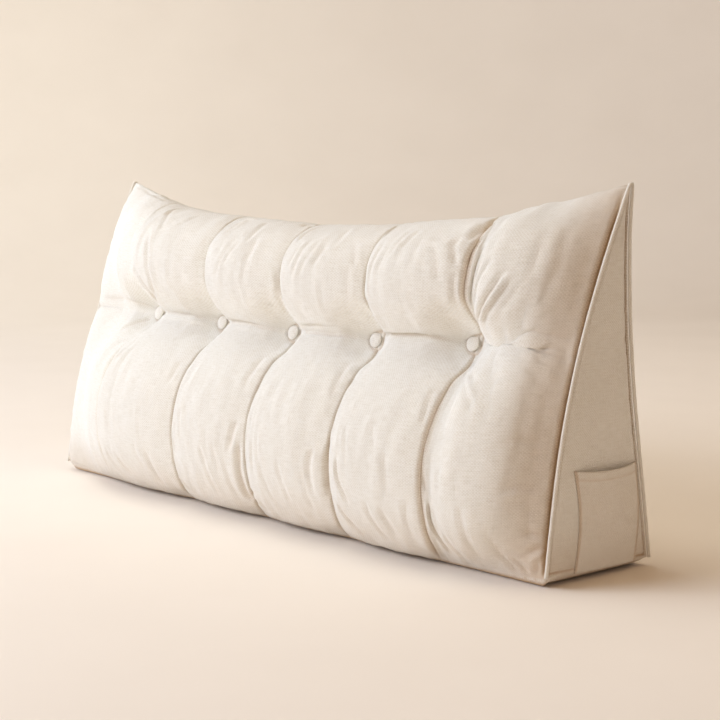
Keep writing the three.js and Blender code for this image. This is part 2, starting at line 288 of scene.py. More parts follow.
def cover_point(x, row):
    """A point of the cover: row 0 is the foot of the front and the last row the foot of the back."""
    x, row = np.broadcast_arrays(np.asarray(x, float), np.asarray(row, float))
    p = section_point(x, row)
    lift = top_height(x) - section_point(x, np.full_like(x, TOP_ROW))[..., 1]
    z = p[..., 1] + lift * smooth(1 - np.abs(row - TOP_ROW) / TOP_ROWS)
    plain = np.stack([x, p[..., 0], z], -1)
    seated = plain.copy()
    for button in BUTTONS:
        offset = seated - button[:3]
        height = offset @ BUTTON_AXIS
        radius = np.linalg.norm(offset - height[..., None] * BUTTON_AXIS, axis=-1)
        keep = smooth((radius - SEAT_RADIUS) / (DIMPLE_RADIUS - SEAT_RADIUS)) ** DIMPLE_ROUNDNESS
        seated += (height * (keep - 1))[..., None] * BUTTON_AXIS
    return np.where((row > SEATED_ROWS)[..., None], plain, seated)


def lean_channels(points, x, row):
    """The cover's points with the channels lifted and leant over, between the waist, the foot and the top."""
    x, row = np.broadcast_arrays(np.asarray(x, float), np.asarray(row, float))
    nearest = np.floor(button_place(x) + 0.5).astype(int)
    depth = np.where(row > BUTTON_ROW, BUTTONS[nearest, 3], BUTTONS[nearest, 4])
    from_channel = np.abs(x - BUTTONS[nearest, 0])
    from_crest = np.clip(1 - from_channel / (PITCH / 2), 0, 1)
    low = 1 - (1 - from_crest**PUFF_POWER) ** PUFF_ROOT
    free = smooth(np.abs(row - BUTTON_ROW) / LIFT_WAIST_ROWS) * smooth(row / LIFT_FOOT_ROWS)
    free = depth * free * smooth((TOP_ROW + 0.5 - row) / LIFT_TOP_ROWS)
    lean = np.where(row > BUTTON_ROW, LEAN_ABOVE, LEAN_BELOW) * (1 - smooth(from_channel / LEAN_REACH))
    lifted = points.copy()
    lifted[..., 0] += free * (LIFT_ACROSS * low + lean)
    lifted[..., 1] -= free * LIFT_OUT * low
    return lifted


def foot_seam(share):
    return mix(FRONT_LIFT, BACK_LIFT, share) - FOOT_SAG * np.sin(np.pi * share)


# Where the frame puts the local origin: the side panels and the pocket's front corner give it
POCKET_FRONT_Y = 52.0
cushion_low, cushion_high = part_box("cushion")
pocket_low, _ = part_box("side_pocket")
ORIGIN = np.array([(cushion_low.x + cushion_high.x) / 2, pocket_low.y - POCKET_FRONT_Y * MM, 0.0])


def to_row_frame(points):
    return np.asarray(points, float) * MM + ORIGIN


def value_noise(u, v, seed):
    """Smooth noise from -1 to 1 with one bump about every unit, the same each run."""
    table = np.random.RandomState(seed).uniform(-1, 1, (NOISE_SIZE, NOISE_SIZE))
    iu = np.floor(u).astype(int)
    iv = np.floor(v).astype(int)
    fu = smooth(u - iu)
    fv = smooth(v - iv)
    iu, iv, ju, jv = (number % NOISE_SIZE for number in (iu, iv, iu + 1, iv + 1))
    low = mix(table[iu, iv], table[ju, iv], fu)
    high = mix(table[iu, jv], table[ju, jv], fu)
    return mix(low, high, fv)


def stations():
    """x of each column of the mesh, close together at the channels and the side seams."""
    half = np.array(HALF_PUFF, float)
    whole = np.concatenate([half, PITCH - half[-2:0:-1]])
    starts = BUTTONS[:-1, 0]
    middle = np.concatenate([start + whole for start in starts])
    right = OUTER_BUTTON_X + np.array(END_COLUMN, float)
    return np.concatenate([-right[:0:-1], middle, right])


def even_rows(first, last, steps):
    """Rows that are evenly far apart along a puff's crest."""
    rows = np.linspace(first, last, ROW_SAMPLES)
    run = run_along(cover_point(PITCH / 2, rows)[:, 1:])
    return np.interp(np.linspace(0, run[-1], steps + 1), run, rows)


def cloth_run(rows):
    """Length of cloth from the foot of the front to each row, along a puff's crest."""
    fine = np.linspace(0, LAST_ROW, RUN_SAMPLES)
    run = run_along(cover_point(PITCH / 2, fine)[:, 1:])
    return np.interp(rows, fine, run)


def underside_points(xs):
    y = np.array(UNDERSIDE_Y, float)
    z = np.array(UNDERSIDE_Z, float)
    near_rim = np.maximum(0, 1 - (RIM_X - np.abs(xs)) / FOOT_RAMP)
    rise = 1 - np.sqrt(1 - np.square(near_rim))
    height = np.maximum(z[None, :], foot_seam(y / BASE_DEPTH)[None, :] * rise[:, None])
    x = np.broadcast_to(xs[:, None], height.shape)
    return np.stack([x, np.broadcast_to(y[None, :], height.shape), height], -1)


# Making, reading and writing meshes. What the cover stores for each point: its x before it moves, its
# row, and whether it belongs to the front and back, the underside or a side panel
COVER_LAYERS = ("station", "row", "kind")
KIND_COVER, KIND_UNDER, KIND_SIDE = 0.0, 1.0, 2.0
KIND_SLACK = 0.25
RIM_SLACK = 0.01


def new_piece(name, points, faces):
    """A piece from points in metres, in the frame of the row."""
    mesh = bpy.data.meshes.new(name)
    mesh.from_pydata(points, [], faces)
    mesh.update()
    piece = bpy.data.objects.new(name, mesh)
    bpy.context.scene.collection.objects.link(piece)
    return piece


def add_layer(mesh, name, kind, domain, values):
    """Stores a number or a vector for each point, corner or edge of a mesh."""
    layer = mesh.attributes.new(name, kind, domain)
    field = "vector" if kind == "FLOAT_VECTOR" else "value"
    layer.data.foreach_set(field, np.asarray(values).astype(np.float32).ravel())


def read_layer(mesh, name):
    flat = np.zeros(len(mesh.attributes[name].data))
    mesh.attributes[name].data.foreach_get("value", flat)
    return flat


def cover_layers(mesh):
    return [read_layer(mesh, name) for name in COVER_LAYERS]


def read_vectors(mesh, field):
    flat = np.zeros(len(mesh.vertices) * 3)
    mesh.vertices.foreach_get(field, flat)
    return flat.reshape(-1, 3)


def read_points(mesh):
    return read_vectors(mesh, "co")


def read_normals(mesh):
    return read_vectors(mesh, "normal")


def local_points(mesh):
    return (read_points(mesh) - ORIGIN) / MM


def write_points(mesh, points):
    mesh.vertices.foreach_set("co", np.asarray(points, np.float32).ravel())
    mesh.update()


def edge_ends(mesh):
    """The two point numbers of each edge."""
    ends = np.zeros(len(mesh.edges) * 2, int)
    mesh.edges.foreach_get("vertices", ends)
    return ends.reshape(-1, 2)


def apply_modifiers(piece):
    """The piece's mesh becomes what its modifiers make of it."""
    graph = bpy.context.evaluated_depsgraph_get()
    shown = piece.evaluated_get(graph)
    made = bpy.data.meshes.new_from_object(shown, preserve_all_data_layers=True, depsgraph=graph)
    piece.modifiers.clear()
    if piece.data.shape_keys:
        piece.shape_key_clear()
    piece.data = made


def subdivide(piece):
    modifier = piece.modifiers.new("fine", "SUBSURF")
    modifier.levels = 1
    modifier.render_levels = 1
    apply_modifiers(piece)


# The cover is made of loops over the width: the front, the top, the back and the underside
SIDE_CLOTH_PLACE = 900.0
SEAM_SHARPNESS = 0.9
FOOT_SHARPNESS = 0.6
FINE_ROWS = FRONT_STEPS + TOP_STEPS + FINE_ROWS_BEHIND
BACK_FOOT = 2 * FRONT_STEPS + TOP_STEPS
LOOP = BACK_FOOT + 1 + len(UNDERSIDE_Y)


def column_step(j):
    """How many columns lie between the points of row j: one in front, four behind and below."""
    if j < FINE_ROWS:
        return 1
    if j < FINE_ROWS + MIDDLE_ROWS_BEHIND or j == LOOP - 1:
        return 2
    return 4


def cover_rows():
    """The rows up the front, over the top and down the back."""
    front = even_rows(0, TOP_ROW, FRONT_STEPS)
    top = np.linspace(TOP_ROW, BACK_ROW, TOP_STEPS + 1)[1:]
    back = even_rows(BACK_ROW, LAST_ROW, FRONT_STEPS)[1:]
    return np.concatenate([front, top, back])


def number_loops(xs, rows, grid):
    """Numbers the points of the loops. Behind the top edge only every fourth column goes on."""
    ids = np.full((len(xs), LOOP), -1)
    points = []
    data = []
    for i in range(len(xs)):
        for j in range(LOOP):
            if i % column_step(j) == 0:
                ids[i, j] = len(points)
                points.append(grid[i, j])
                known = (rows[j], KIND_COVER) if j <= BACK_FOOT else (-1.0, KIND_UNDER)
                data.append((xs[i], *known))
    return ids, points, data


def loop_faces(ids, xs, runs):
    """Faces between neighbouring columns, and the place in the cloth of each of their corners."""
    faces = []
    places = []
    whole_run = runs[-1] + UNDERSIDE_Y[-1]

    def add(turn, *corners):
        faces.append([ids[corner] for corner in corners])
        places.append([(xs[i], runs[j] + (turn if j == 0 else 0.0), 0.0) for i, j in corners])

    for j in range(LOOP):
        k = (j + 1) % LOOP
        turn = whole_run if k == 0 else 0.0
        here = column_step(j)
        there = column_step(k)
        step = max(here, there)
        for i in range(0, len(xs) - 1, step):
            n = i + step
            m = i + step // 2
            if here == there:
                add(turn, (i, j), (n, j), (n, k), (i, k))
            elif here < there:
                add(turn, (i, j), (m, j), (i, k))
                add(turn, (m, j), (n, k), (i, k))
                add(turn, (m, j), (n, j), (n, k))
            else:
                add(turn, (i, j), (m, k), (i, k))
                add(turn, (i, j), (n, j), (m, k))
                add(turn, (n, j), (n, k), (m, k))
    return faces, places


def side_ladder(i, ids, grid, points, data):
    """Point numbers of the side panel at column i, from its front edge to its back edge on each rung.
    The points between the edges are new."""
    ladder = np.zeros((FRONT_STEPS + 1, TOP_STEPS + 1), int)
    for r in range(FRONT_STEPS + 1):
        for k in range(TOP_STEPS + 1):
            if r == FRONT_STEPS:
                ladder[r, k] = ids[i, FRONT_STEPS + k]
            elif k == 0:
                ladder[r, k] = ids[i, r]
            elif k == TOP_STEPS:
                ladder[r, k] = ids[i, BACK_FOOT - r]
            elif r == 0:
                ladder[r, k] = ids[i, LOOP - k]
            else:
                p = mix(grid[i, r], grid[i, BACK_FOOT - r], SIDE_SHARES[k])
                ladder[r, k] = len(points)
                points.append(p)
                data.append((p[0], -1.0, KIND_SIDE))
    return ladder


def side_faces(side, ladder, points):
    """Faces of a side panel, and the place in the cloth of each of their corners."""
    faces = []
    places = []
    for r in range(FRONT_STEPS):
        for k in range(TOP_STEPS):
            quad = [ladder[r, k], ladder[r, k + 1], ladder[r + 1, k + 1], ladder[r + 1, k]]
            if side < 0:
                quad.reverse()
            faces.append(quad)
            places.append([(points[q][1] + SIDE_CLOTH_PLACE, points[q][2], 0.0) for q in quad])
    return faces, places


def mark_seams(mesh, data):
    """Keeps the side seams and the seams at the foot crisp when the mesh is subdivided."""
    ends = edge_ends(mesh)
    seam = (np.abs(np.abs(data[:, 0]) - RIM_X) < RIM_SLACK) & (data[:, 2] < KIND_SIDE)
    foot = (data[:, 1] == 0) | (data[:, 1] == LAST_ROW)
    sharp = np.maximum(seam[ends].all(1), FOOT_SHARPNESS * foot[ends].all(1))
    add_layer(mesh, "crease_edge", "FLOAT", "EDGE", SEAM_SHARPNESS * sharp)


def cover_mesh():
    """The closed cover: loops over the width, and a ladder of quads on each side panel."""
    xs = stations()
    rows = cover_rows()
    upper = lean_channels(cover_point(xs[:, None], rows[None, :]), xs[:, None], rows[None, :])
    grid = np.concatenate([upper, underside_points(xs)], 1)
    runs = cloth_run(rows)
    runs = np.concatenate([runs, runs[-1] + (BASE_DEPTH - np.array(UNDERSIDE_Y, float))])
    ids, points, data = number_loops(xs, rows, grid)
    faces, places = loop_faces(ids, xs, runs)
    for side, i in ((-1, 0), (1, len(xs) - 1)):
        ladder = side_ladder(i, ids, grid, points, data)
        panel_faces, panel_places = side_faces(side, ladder, points)
        faces += panel_faces
        places += panel_places
    piece = new_piece("cushion_cover", to_row_frame(points).tolist(), faces)
    data = np.array(data)
    for column, name in enumerate(COVER_LAYERS):
        add_layer(piece.data, name, "FLOAT", "POINT", data[:, column])
    corners = np.array([corner for face in places for corner in face], float)
    add_layer(piece.data, "cloth_place", "FLOAT_VECTOR", "CORNER", corners * MM)
    mark_seams(piece.data, data)
    return piece


# Cloth simulation of the cover
CLOTH_FRAMES = 20
CLOTH_CAP = 10.0
CLOTH_SETTINGS = {
    "quality": 4,
    "mass": 0.05,
    "tension_stiffness": 15,
    "compression_stiffness": 15,
    "shear_stiffness": 2,
    "bending_stiffness": 0.01,
    "use_pressure": True,
    "uniform_pressure_force": 1.0,
    "vertex_group_mass": "hold",
    "pin_stiffness": 1.0,
}
CUT_ACROSS = 1.08
CUT_ALONG = 1.01
CHANNEL_GRIP = 5.0
SEAT_GRIP = 15.0
SEAT_FADE = 8.0
PLAIN_PANEL_GRIP = 0.3
LEAST_GRIP = 0.02
CRUMPLE_HEIGHT = 1.2
CRUMPLE_FINE = 8.0
CRUMPLE_LONG = 50.0
CRUMPLE_CROSS_SHARE = 0.3
SWELL_ROUNDS = 40
SWELL_TAKEN = 0.8
FOLD_GAIN = 1.4


def nearest_channel(station, row):
    """Distance to the nearest channel, and how deep that channel is at this row."""
    apart = np.abs(station[:, None] - BUTTONS[None, :, 0])
    nearest = apart.argmin(1)
    depth = np.where(row > BUTTON_ROW, BUTTONS[nearest, 3], BUTTONS[nearest, 4])
    return apart.min(1), depth


def from_buttons(points):
    """Distance to the nearest button's place."""
    return np.linalg.norm(points[:, None, :] - BUTTONS[None, :, :3], axis=-1).min(1)


def hold_weights(mesh):
    """How firmly each point of the cover is held: sewn, tufted, lying on the floor, or free."""
    station, row, kind = cover_layers(mesh)
    channel, depth = nearest_channel(station, row)
    on_front = (kind == KIND_COVER) & (row <= TOP_ROW)
    hold = np.where(on_front, depth * bell(channel / CHANNEL_GRIP), 0.0)
    from_seat = np.maximum(0, from_buttons(local_points(mesh)) - SEAT_GRIP)
    hold = np.maximum(hold, bell(from_seat / SEAT_FADE) * on_front)
    behind = (kind == KIND_COVER) & (row > BACK_ROW)
    hold = np.where(behind | (kind == KIND_SIDE), np.maximum(hold, PLAIN_PANEL_GRIP), hold)
    rim = np.abs(np.abs(station) - RIM_X) < RIM_SLACK
    foot = (row == 0) | (row == LAST_ROW) | (kind == KIND_UNDER)
    hold[(rim & (kind < KIND_SIDE)) | foot] = 1.0
    hold[hold < LEAST_GRIP] = 0.0
    return np.clip(hold, 0, 1)


def crumpled_start(mesh, hold):
    """The free cloth starts with faint upright ripples, so that its excess gathers into them."""
    station, row, kind = cover_layers(mesh)
    run = cloth_run(np.maximum(row, 0))
    upright = value_noise(station / CRUMPLE_FINE, run / CRUMPLE_LONG, SEED)
    cross = value_noise(station / CRUMPLE_LONG, run / CRUMPLE_FINE, SEED + 1)
    free = (kind == KIND_COVER) & (row <= BACK_ROW)
    height = CRUMPLE_HEIGHT * free * (1 - hold) * (upright + CRUMPLE_CROSS_SHARE * cross)
    return read_points(mesh) + read_normals(mesh) * (height * MM)[:, None]


def broad_part(mesh, moved):
    """The broad swelling in a movement: its mean with the neighbours, taken many times."""
    ends = edge_ends(mesh)
    count = len(mesh.vertices)
    near = np.bincount(ends.ravel(), minlength=count)
    result = moved.copy()
    for _ in range(SWELL_ROUNDS):
        for axis in range(3):
            value = result[:, axis]
            total = np.bincount(ends[:, 0], value[ends[:, 1]], count)
            total += np.bincount(ends[:, 1], value[ends[:, 0]], count)
            result[:, axis] = 0.5 * value + 0.5 * total / near
    return result


def add_cloth(piece, hold, cut):
    """Cloth that is held by weights and cut to the points in cut, with pressure and no gravity."""
    group = piece.vertex_groups.new(name="hold")
    for index, weight in enumerate(hold):
        group.add([index], float(weight), "REPLACE")
    piece.shape_key_add(name="Basis")
    rest = piece.shape_key_add(name="cut")
    rest.data.foreach_set("co", cut.astype(np.float32).ravel())
    cloth = piece.modifiers.new("cloth", "CLOTH")
    for name, value in CLOTH_SETTINGS.items():
        setattr(cloth.settings, name, value)
    cloth.settings.effector_weights.gravity = 0.0
    cloth.settings.rest_shape_key = rest
    cloth.collision_settings.use_collision = False
    cloth.collision_settings.use_self_collision = False
    cloth.point_cache.frame_start = 1
    cloth.point_cache.frame_end = CLOTH_FRAMES


def simulate_cover(piece):
    """The cloth is cut larger than the shape it is sewn and tufted to, and is blown up. The folds are
    kept, and most of the broad swelling is taken off again, so that the measured shape stays."""
    start = read_points(piece.data)
    hold = hold_weights(piece.data)
    crumpled = crumpled_start(piece.data, hold)
    write_points(piece.data, crumpled)
    larger = np.array([CUT_ACROSS, CUT_ALONG, CUT_ALONG])
    add_cloth(piece, hold, (crumpled - ORIGIN) * larger + ORIGIN)
    for number in range(1, CLOTH_FRAMES + 1):
        bpy.context.scene.frame_set(number)
    apply_modifiers(piece)
    bpy.context.scene.frame_set(1)
    moved = read_points(piece.data) - start
    moved = FOLD_GAIN * (moved - SWELL_TAKEN * broad_part(piece.data, moved))
    far = np.linalg.norm(moved, axis=1)
    cap = CLOTH_CAP * MM
    keep = cap * np.tanh(far / cap) / np.maximum(far, 1e-9)
    write_points(piece.data, start + moved * keep[:, None])


# Creases placed one by one. Each has a depth (below zero for a ridge), half its breadth, and its places
# (x, row)
UPPER_CREASES = [
    (5, 4, [(-332, 9.87), (-328, 10.82), (-346, 11.49), (-384, 12.22)]),
    (3, 4, [(-325, 10.29), (-311, 11.3), (-313, 12.12), (-321, 12.99), (-341, 13.84)]),
    (4, 3.5, [(-334, 14.67), (-347, 15.13), (-343, 15.53), (-329, 15.89)]),
    (2, 4, [(-306, 13.82), (-321, 14.35), (-338, 14.92)]),
    (1.8, 3.5, [(-262, 14.52), (-266, 15.04), (-254, 15.48)]),
    (1.5, 3.5, [(-385, 14.63), (-395, 14.98), (-393, 15.38)]),
    (1, 4, [(-574, 16.11), (-534, 16), (-467, 15.96), (-403, 15.79)]),
    (3, 3, [(-133, 13.86), (-132, 14.33), (-135, 14.89), (-119, 15.27)]),
    (4, 3, [(-160, 15.12), (-151, 15.32), (-123, 15.33)]),
    (2.2, 4, [(-80, 15.24), (-68, 14.54), (-63, 13.95), (-65, 13.53)]),
    (2.2, 4, [(-50, 13.94), (-46, 13.27), (-52, 12.63)]),
    (1.6, 3.5, [(-78, 13.72), (-86, 13.12), (-100, 12.41)]),
    (1.4, 3, [(-94, 13.69), (-100, 13.05), (-111, 12.31), (-118, 11.77)]),
    (1, 5, [(-43, 13.03), (-50, 12.24), (-58, 11.42)]),
    (2, 3, [(-8, 12.81), (-5, 11.77), (-10, 10.92), (-14, 10.28)]),
    (5, 3, [(57, 13.91), (58, 14.43), (57, 14.97), (72, 15.32)]),
    (2, 3, [(-16, 15.22), (-13, 15.5), (6, 15.39)]),
    (1.8, 3, [(75, 13.92), (73, 13.25), (69, 12.55)]),
    (2, 3, [(92, 14.2), (90, 13.52), (86, 12.78), (81, 12.04)]),
    (1.8, 3, [(113, 14.13), (114, 13.43), (105, 12.8), (101, 12.07)]),
    (1.5, 3, [(137, 13.77), (132, 13.15), (123, 12.6)]),
    (1.5, 3.5, [(140, 14.89), (148, 14.22), (152, 13.62)]),
    (1.2, 5, [(177, 12.94), (180, 11.98), (179, 11.37)]),
    (1.5, 3.5, [(172, 14.05), (181, 13.28), (186, 12.62)]),
    (5, 3, [(233, 13.88), (239, 14.34), (244, 14.77), (263, 14.96)]),
    (1.8, 3, [(155, 14.61), (156, 15.05), (170, 15.33)]),
    (2, 3, [(298, 14.54), (296, 13.93), (291, 13.36), (285, 12.86)]),
    (1.8, 3, [(317, 14.58), (313, 13.92), (306, 13.36)]),
    (1.6, 2.8, [(261, 13.97), (258, 13.38), (255, 12.78), (255, 12.23)]),
    (1.4, 2.8, [(284, 13.79), (279, 13.2), (271, 12.62)]),
    (1.8, 4, [(358, 13.78), (371, 13.01), (376, 12.17)]),
    (3.5, 3.5, [(384, 14.13), (381, 13.79), (387, 13.27), (390, 12.82)]),
    (1.8, 4, [(390, 12.74), (392, 12.02), (391, 11.43)]),
    (3.5, 3, [(399, 13.07), (399, 13.5), (402, 13.88), (408, 14.11)]),
    (4, 3, [(394, 13.92), (395, 14.39), (399, 14.72), (415, 14.97)]),
    (6, 4, [(403, 10.27), (442, 10.86), (463, 11.61), (477, 12.12), (485, 12.53), (492, 12.77)]),
    (-3, 3.5, [(441, 10.66), (466, 11.45), (481, 11.98), (492, 12.44), (497, 12.68)]),
    (2.5, 4, [(456, 10.65), (477, 11.49), (488, 11.98), (498, 12.37)]),
    (1.5, 5, [(469, 10.66), (489, 11.42), (504, 11.94), (514, 12.23)]),
    (2.2, 3, [(410, 11.47), (415, 12.23), (416, 12.92), (424, 13.57), (434, 13.86)]),
    (2, 3, [(415, 11.29), (427, 12.05), (435, 12.75), (446, 13.31), (452, 13.58)]),
    (2.2, 3, [(418, 11.03), (439, 11.81), (451, 12.49), (465, 12.99), (474, 13.3)]),
    (1.2, 6, [(517, 14.1), (520, 13.13), (514, 12.19)]),
    (1.5, 7, [(543, 14.28), (547, 13), (547, 11.81)]),
]
WAIST_CREASES = [
    (3.5, 3.5, [(-414, 9.45), (-443, 9.74), (-512, 9.9), (-592, 9.69)]),
    (3.5, 4, [(-417, 8.54), (-435, 8.11), (-447, 7.6), (-480, 7)]),
    (1.8, 3.5, [(-370, 7.41), (-413, 7.01), (-435, 6.38)]),
    (1.8, 3.5, [(-359, 7.17), (-372, 6.56), (-382, 5.99)]),
    (1.5, 3.5, [(-341, 6.86), (-351, 6.42), (-352, 5.98)]),
    (4, 3, [(-380, 9.03), (-344, 9.03), (-277, 9.1), (-236, 9.09), (-214, 9)]),
    (-1.5, 3.5, [(-337, 8.68), (-250, 8.65), (-212, 8.58)]),
    (5, 3, [(-182, 9.03), (-152, 9.03), (-98, 9.09), (-55, 8.92), (-14, 8.9)]),
    (2, 4, [(51, 9.39), (98, 9.61), (130, 9.68)]),
    (4.5, 3, [(18, 9.0), (45, 8.96), (111, 8.86), (155, 8.94), (183, 9.02)]),
    (5, 3, [(218, 9.31), (280, 9.21), (322, 9.23), (353, 9.11), (383, 9.03)]),
    (3, 4, [(418, 9.1), (446, 9.25), (480, 9.3), (520, 9.25), (565, 9.1), (592, 9.05)]),
    (1.5, 5, [(515, 10.3), (542, 10.2), (565, 10.02), (592, 9.9)]),
    (1.8, 4.5, [(505, 8.7), (536, 8.6), (558, 8.5), (588, 8.4)]),
]
LOWER_CREASES = [
    (2, 3, [(-177, 4.17), (-167, 3.45), (-164, 2.8)]),
    (4, 3, [(-208, 2.38), (-183, 1.98), (-155, 1.51), (-135, 1.15)]),
    (1.8, 3, [(-217, 6.56), (-217, 5.92), (-220, 5.4)]),
    (1.4, 3, [(-144, 4.78), (-137, 4.06), (-132, 3.34)]),
    (1, 3, [(-132, 5.07), (-116, 4.31), (-108, 3.6)]),
    (4, 3, [(21, 5.14), (25, 4.54), (22, 3.96), (14, 3.36)]),
    (5, 3, [(-9, 3.87), (-11, 2.99), (-11, 2.21), (-7, 1.49), (19, 1.35)]),
    (3, 3.5, [(-15, 4.6), (-19, 4.02), (-24, 3.3)]),
    (2.2, 3.5, [(-20, 7.36), (-19, 6.73), (-19, 6.16), (-17, 5.57)]),
    (3, 3, [(-5, 1.91), (33, 1.76), (53, 1.42), (73, 1.24)]),
    (1.5, 2.8, [(55, 4.03), (51, 3.38), (52, 2.72)]),
    (1.3, 3, [(68, 4.42), (72, 3.57), (79, 2.87), (86, 2.35)]),
    (5, 3, [(211, 5.06), (200, 4.32), (196, 3.61), (196, 2.88), (195, 2.12)]),
    (3, 3.5, [(181, 4.19), (176, 3.7), (174, 3.06), (178, 2.29)]),
    (4.5, 3, [(249, 4.06), (255, 3.42), (266, 2.89), (280, 2.39)]),
    (4, 3, [(237, 2.49), (255, 2.04), (273, 1.55), (290, 1.02)]),
    (2.2, 3, [(182, 7.48), (183, 6.9), (185, 6.4), (186, 5.85)]),
    (1.2, 3, [(265, 5.1), (273, 4.47), (281, 3.85)]),
    (1.5, 6, [(397, 7.6), (400, 6.5), (404, 5.81), (405, 5.31), (405, 4.76), (406, 4.32)]),
    (1.5, 4, [(386, 6.84), (388, 6.34), (391, 5.79), (394, 5.3)]),
    (4.5, 3.5, [(416, 3.01), (413, 2.41), (419, 1.91), (432, 1.43), (451, 0.84)]),
    (2.5, 5, [(399, 4.24), (403, 3.75), (411, 3.27)]),
    (-2, 4, [(405, 7.83), (449, 6.94), (475, 6.29), (493, 5.71)]),
    (1.8, 3.5, [(424, 7.3), (452, 6.64), (472, 6.11), (487, 5.65)]),
    (1, 7, [(525, 4.72), (545, 4.84), (580, 4.8)]),
    (1.2, 7, [(525, 3.4), (551, 3.46), (588, 3.31)]),
    (-1.5, 6, [(541, 3.23), (565, 3.26), (591, 3.13)]),
]
FOOT_CREASES = [
    (2.5, 3.5, [(-336, 2.34), (-326, 1.88), (-304, 1.39)]),
    (2.2, 3.5, [(-249, 2.85), (-244, 2.29), (-238, 1.48), (-233, 0.98)]),
    (1.2, 4, [(-372, 2.63), (-363, 2.01), (-349, 1.56)]),
    (1.3, 4, [(-276, 3.12), (-270, 2.54), (-258, 1.91)]),
    (1.6, 4, [(-81, 3.67), (-72, 2.87), (-66, 2.1), (-58, 1.51)]),
    (1.2, 4, [(-54, 4.09), (-48, 3.18), (-40, 2.43)]),
    (1.5, 4, [(-33, 3.19), (-30, 2.31), (-22, 1.44)]),
    (1.5, 4, [(117, 3.7), (123, 3.01), (131, 2.31), (136, 1.79)]),
    (1.8, 3.5, [(81, 2.77), (91, 2.09), (106, 1.58)]),
    (1.8, 3.5, [(164, 3.27), (167, 2.48), (172, 1.66)]),
    (1, 4, [(318, 5.41), (330, 4.78), (338, 4.17)]),
    (1.5, 4, [(351, 4.52), (356, 3.73), (358, 3.08)]),
    (2.5, 4, [(315, 2.8), (318, 2.29), (330, 1.66), (342, 1.17)]),
    (1.8, 4, [(341, 2.7), (349, 2.2), (360, 1.57)]),
    (1.2, 4, [(383, 2.93), (379, 2.25), (381, 1.51)]),
    (2, 3.5, [(445, 2.01), (456, 1.39), (470, 0.87)]),
    (1.5, 5, [(483, 3.1), (483, 2.45), (487, 1.71), (497, 0.97)]),
    (2.5, 4, [(523, 1.35), (533, 0.8), (550, 0.15)]),
    (1.2, 5, [(511, 2.43), (521, 1.69), (534, 0.98)]),
    (2, 7, [(563, 2.11), (583, 1.99), (596, 2.14)]),
    (3, 5, [(569, 1.24), (581, 1.43), (596, 1.46)]),
    (-2.5, 4, [(569, 0.79), (582, 1.04), (596, 1.11)]),
    (2.5, 3.5, [(540, 0.99), (555, 0.57), (568, 0.07)]),
    (2, 3, [(579, 0.35), (582, 0.55), (584, 0.73)]),
]
CREASES = UPPER_CREASES + WAIST_CREASES + LOWER_CREASES + FOOT_CREASES
CREASE_STRENGTH = 1.7
CREASE_CAP = 7.0
# How much painted shade a crease puts in its trough
CREASE_SHADE = 0.035
CREASE_FINEST = 4.0
CREASE_STEP = 1.5
CREASE_REACH = 26.0
CREASE_LIP = 0.3
CREASE_LIP_BREADTH = 2.5
CREASE_START = 0.18
CREASE_END = 0.28
CREASE_SHADE_NARROW = 1.4


def crease_dent(rest, depth, breadth, places):
    """How far one crease lowers each point, and how much painted shade it puts in its trough: a soft trough
    with low lips, dying away at both ends."""
    places = np.array(places, float)
    rough = catmull(places, np.linspace(0, len(places) - 1, CREASE_SAMPLES))
    spots = cover_point(rough[:, 0], rough[:, 1])
    run = run_along(spots)
    even = np.linspace(0, run[-1], max(4, int(run[-1] / CREASE_STEP)))
    spots = np.stack([np.interp(even, run, spots[:, axis]) for axis in range(3)], -1)
    low = spots.min(0) - CREASE_REACH
    high = spots.max(0) + CREASE_REACH
    close = np.nonzero(((rest > low) & (rest < high)).all(1))[0]
    apart = np.linalg.norm(rest[close][:, None, :] - spots[None, :, :], axis=-1)
    share = apart.argmin(1) / (len(even) - 1)
    d = apart.min(1) / max(breadth, CREASE_FINEST)
    strength = smooth(share / CREASE_START) * smooth((1 - share) / CREASE_END)
    shape = bell(d) - CREASE_LIP * bell(d / CREASE_LIP_BREADTH)
    # Painted shade in the crease's trough
    shade = CREASE_SHADE * max(depth, 0.0) * strength * bell(CREASE_SHADE_NARROW * d)
    return close, CREASE_STRENGTH * depth * strength * shape, shade


# Narrow slots along the channels, and the gathers beside the seams and above the foot
SLOT_DEPTH = 7.0
SLOT_BREADTH = 2.6
SLOT_BUTTON_ROWS = 1.2
SLOT_FOOT_ROWS = 1.0
SLOT_TOP_ROWS = 1.2
DITCH_DEPTH = 8.0
DITCH_PLACE = 5.2
DITCH_BREADTH = 2.4
DITCH_FOOT_ROWS = 0.6
DITCH_TOP_ROWS = 1.5
SEAT_RING_DEPTH = 2.5
SEAT_RING_RADIUS = 14.0
SEAT_RING_BREADTH = 2.4
# Painted shade in the channel slots, the ditches beside the piping and the rings around the buttons
SLOT_SHADE = 0.45
DITCH_SHADE = 0.55
SEAT_SHADE = 0.4
# Painted contact shadow along the floor, and painted warm shade darkening the cloth towards the foot
CONTACT_SHADE = 0.95
CONTACT_HEIGHT = 10.0
FOOT_SHADE = 0.26
FOOT_HEIGHT = 95.0
# Painted shade: the front darkens towards the right side seam
EDGE_SHADE = 0.32
EDGE_SHADE_REACH = 100.0
SIDE_DITCH_DEPTH = 5.0
SIDE_DITCH_PLACE = 2.6
SIDE_DITCH_BREADTH = 1.8
# Painted shade in the side ditches and along the side panels' foot line
SIDE_DITCH_SHADE = 0.6
SIDE_TIP_REACH = 50.0
SIDE_FOOT_DENT = 2.5
SIDE_FOOT_SHADE = 0.6
SIDE_FOOT_BREADTH = 2.4
SIDE_FOOT_PLACE = 4.0
SIDE_SEAM_REACH = 1.5
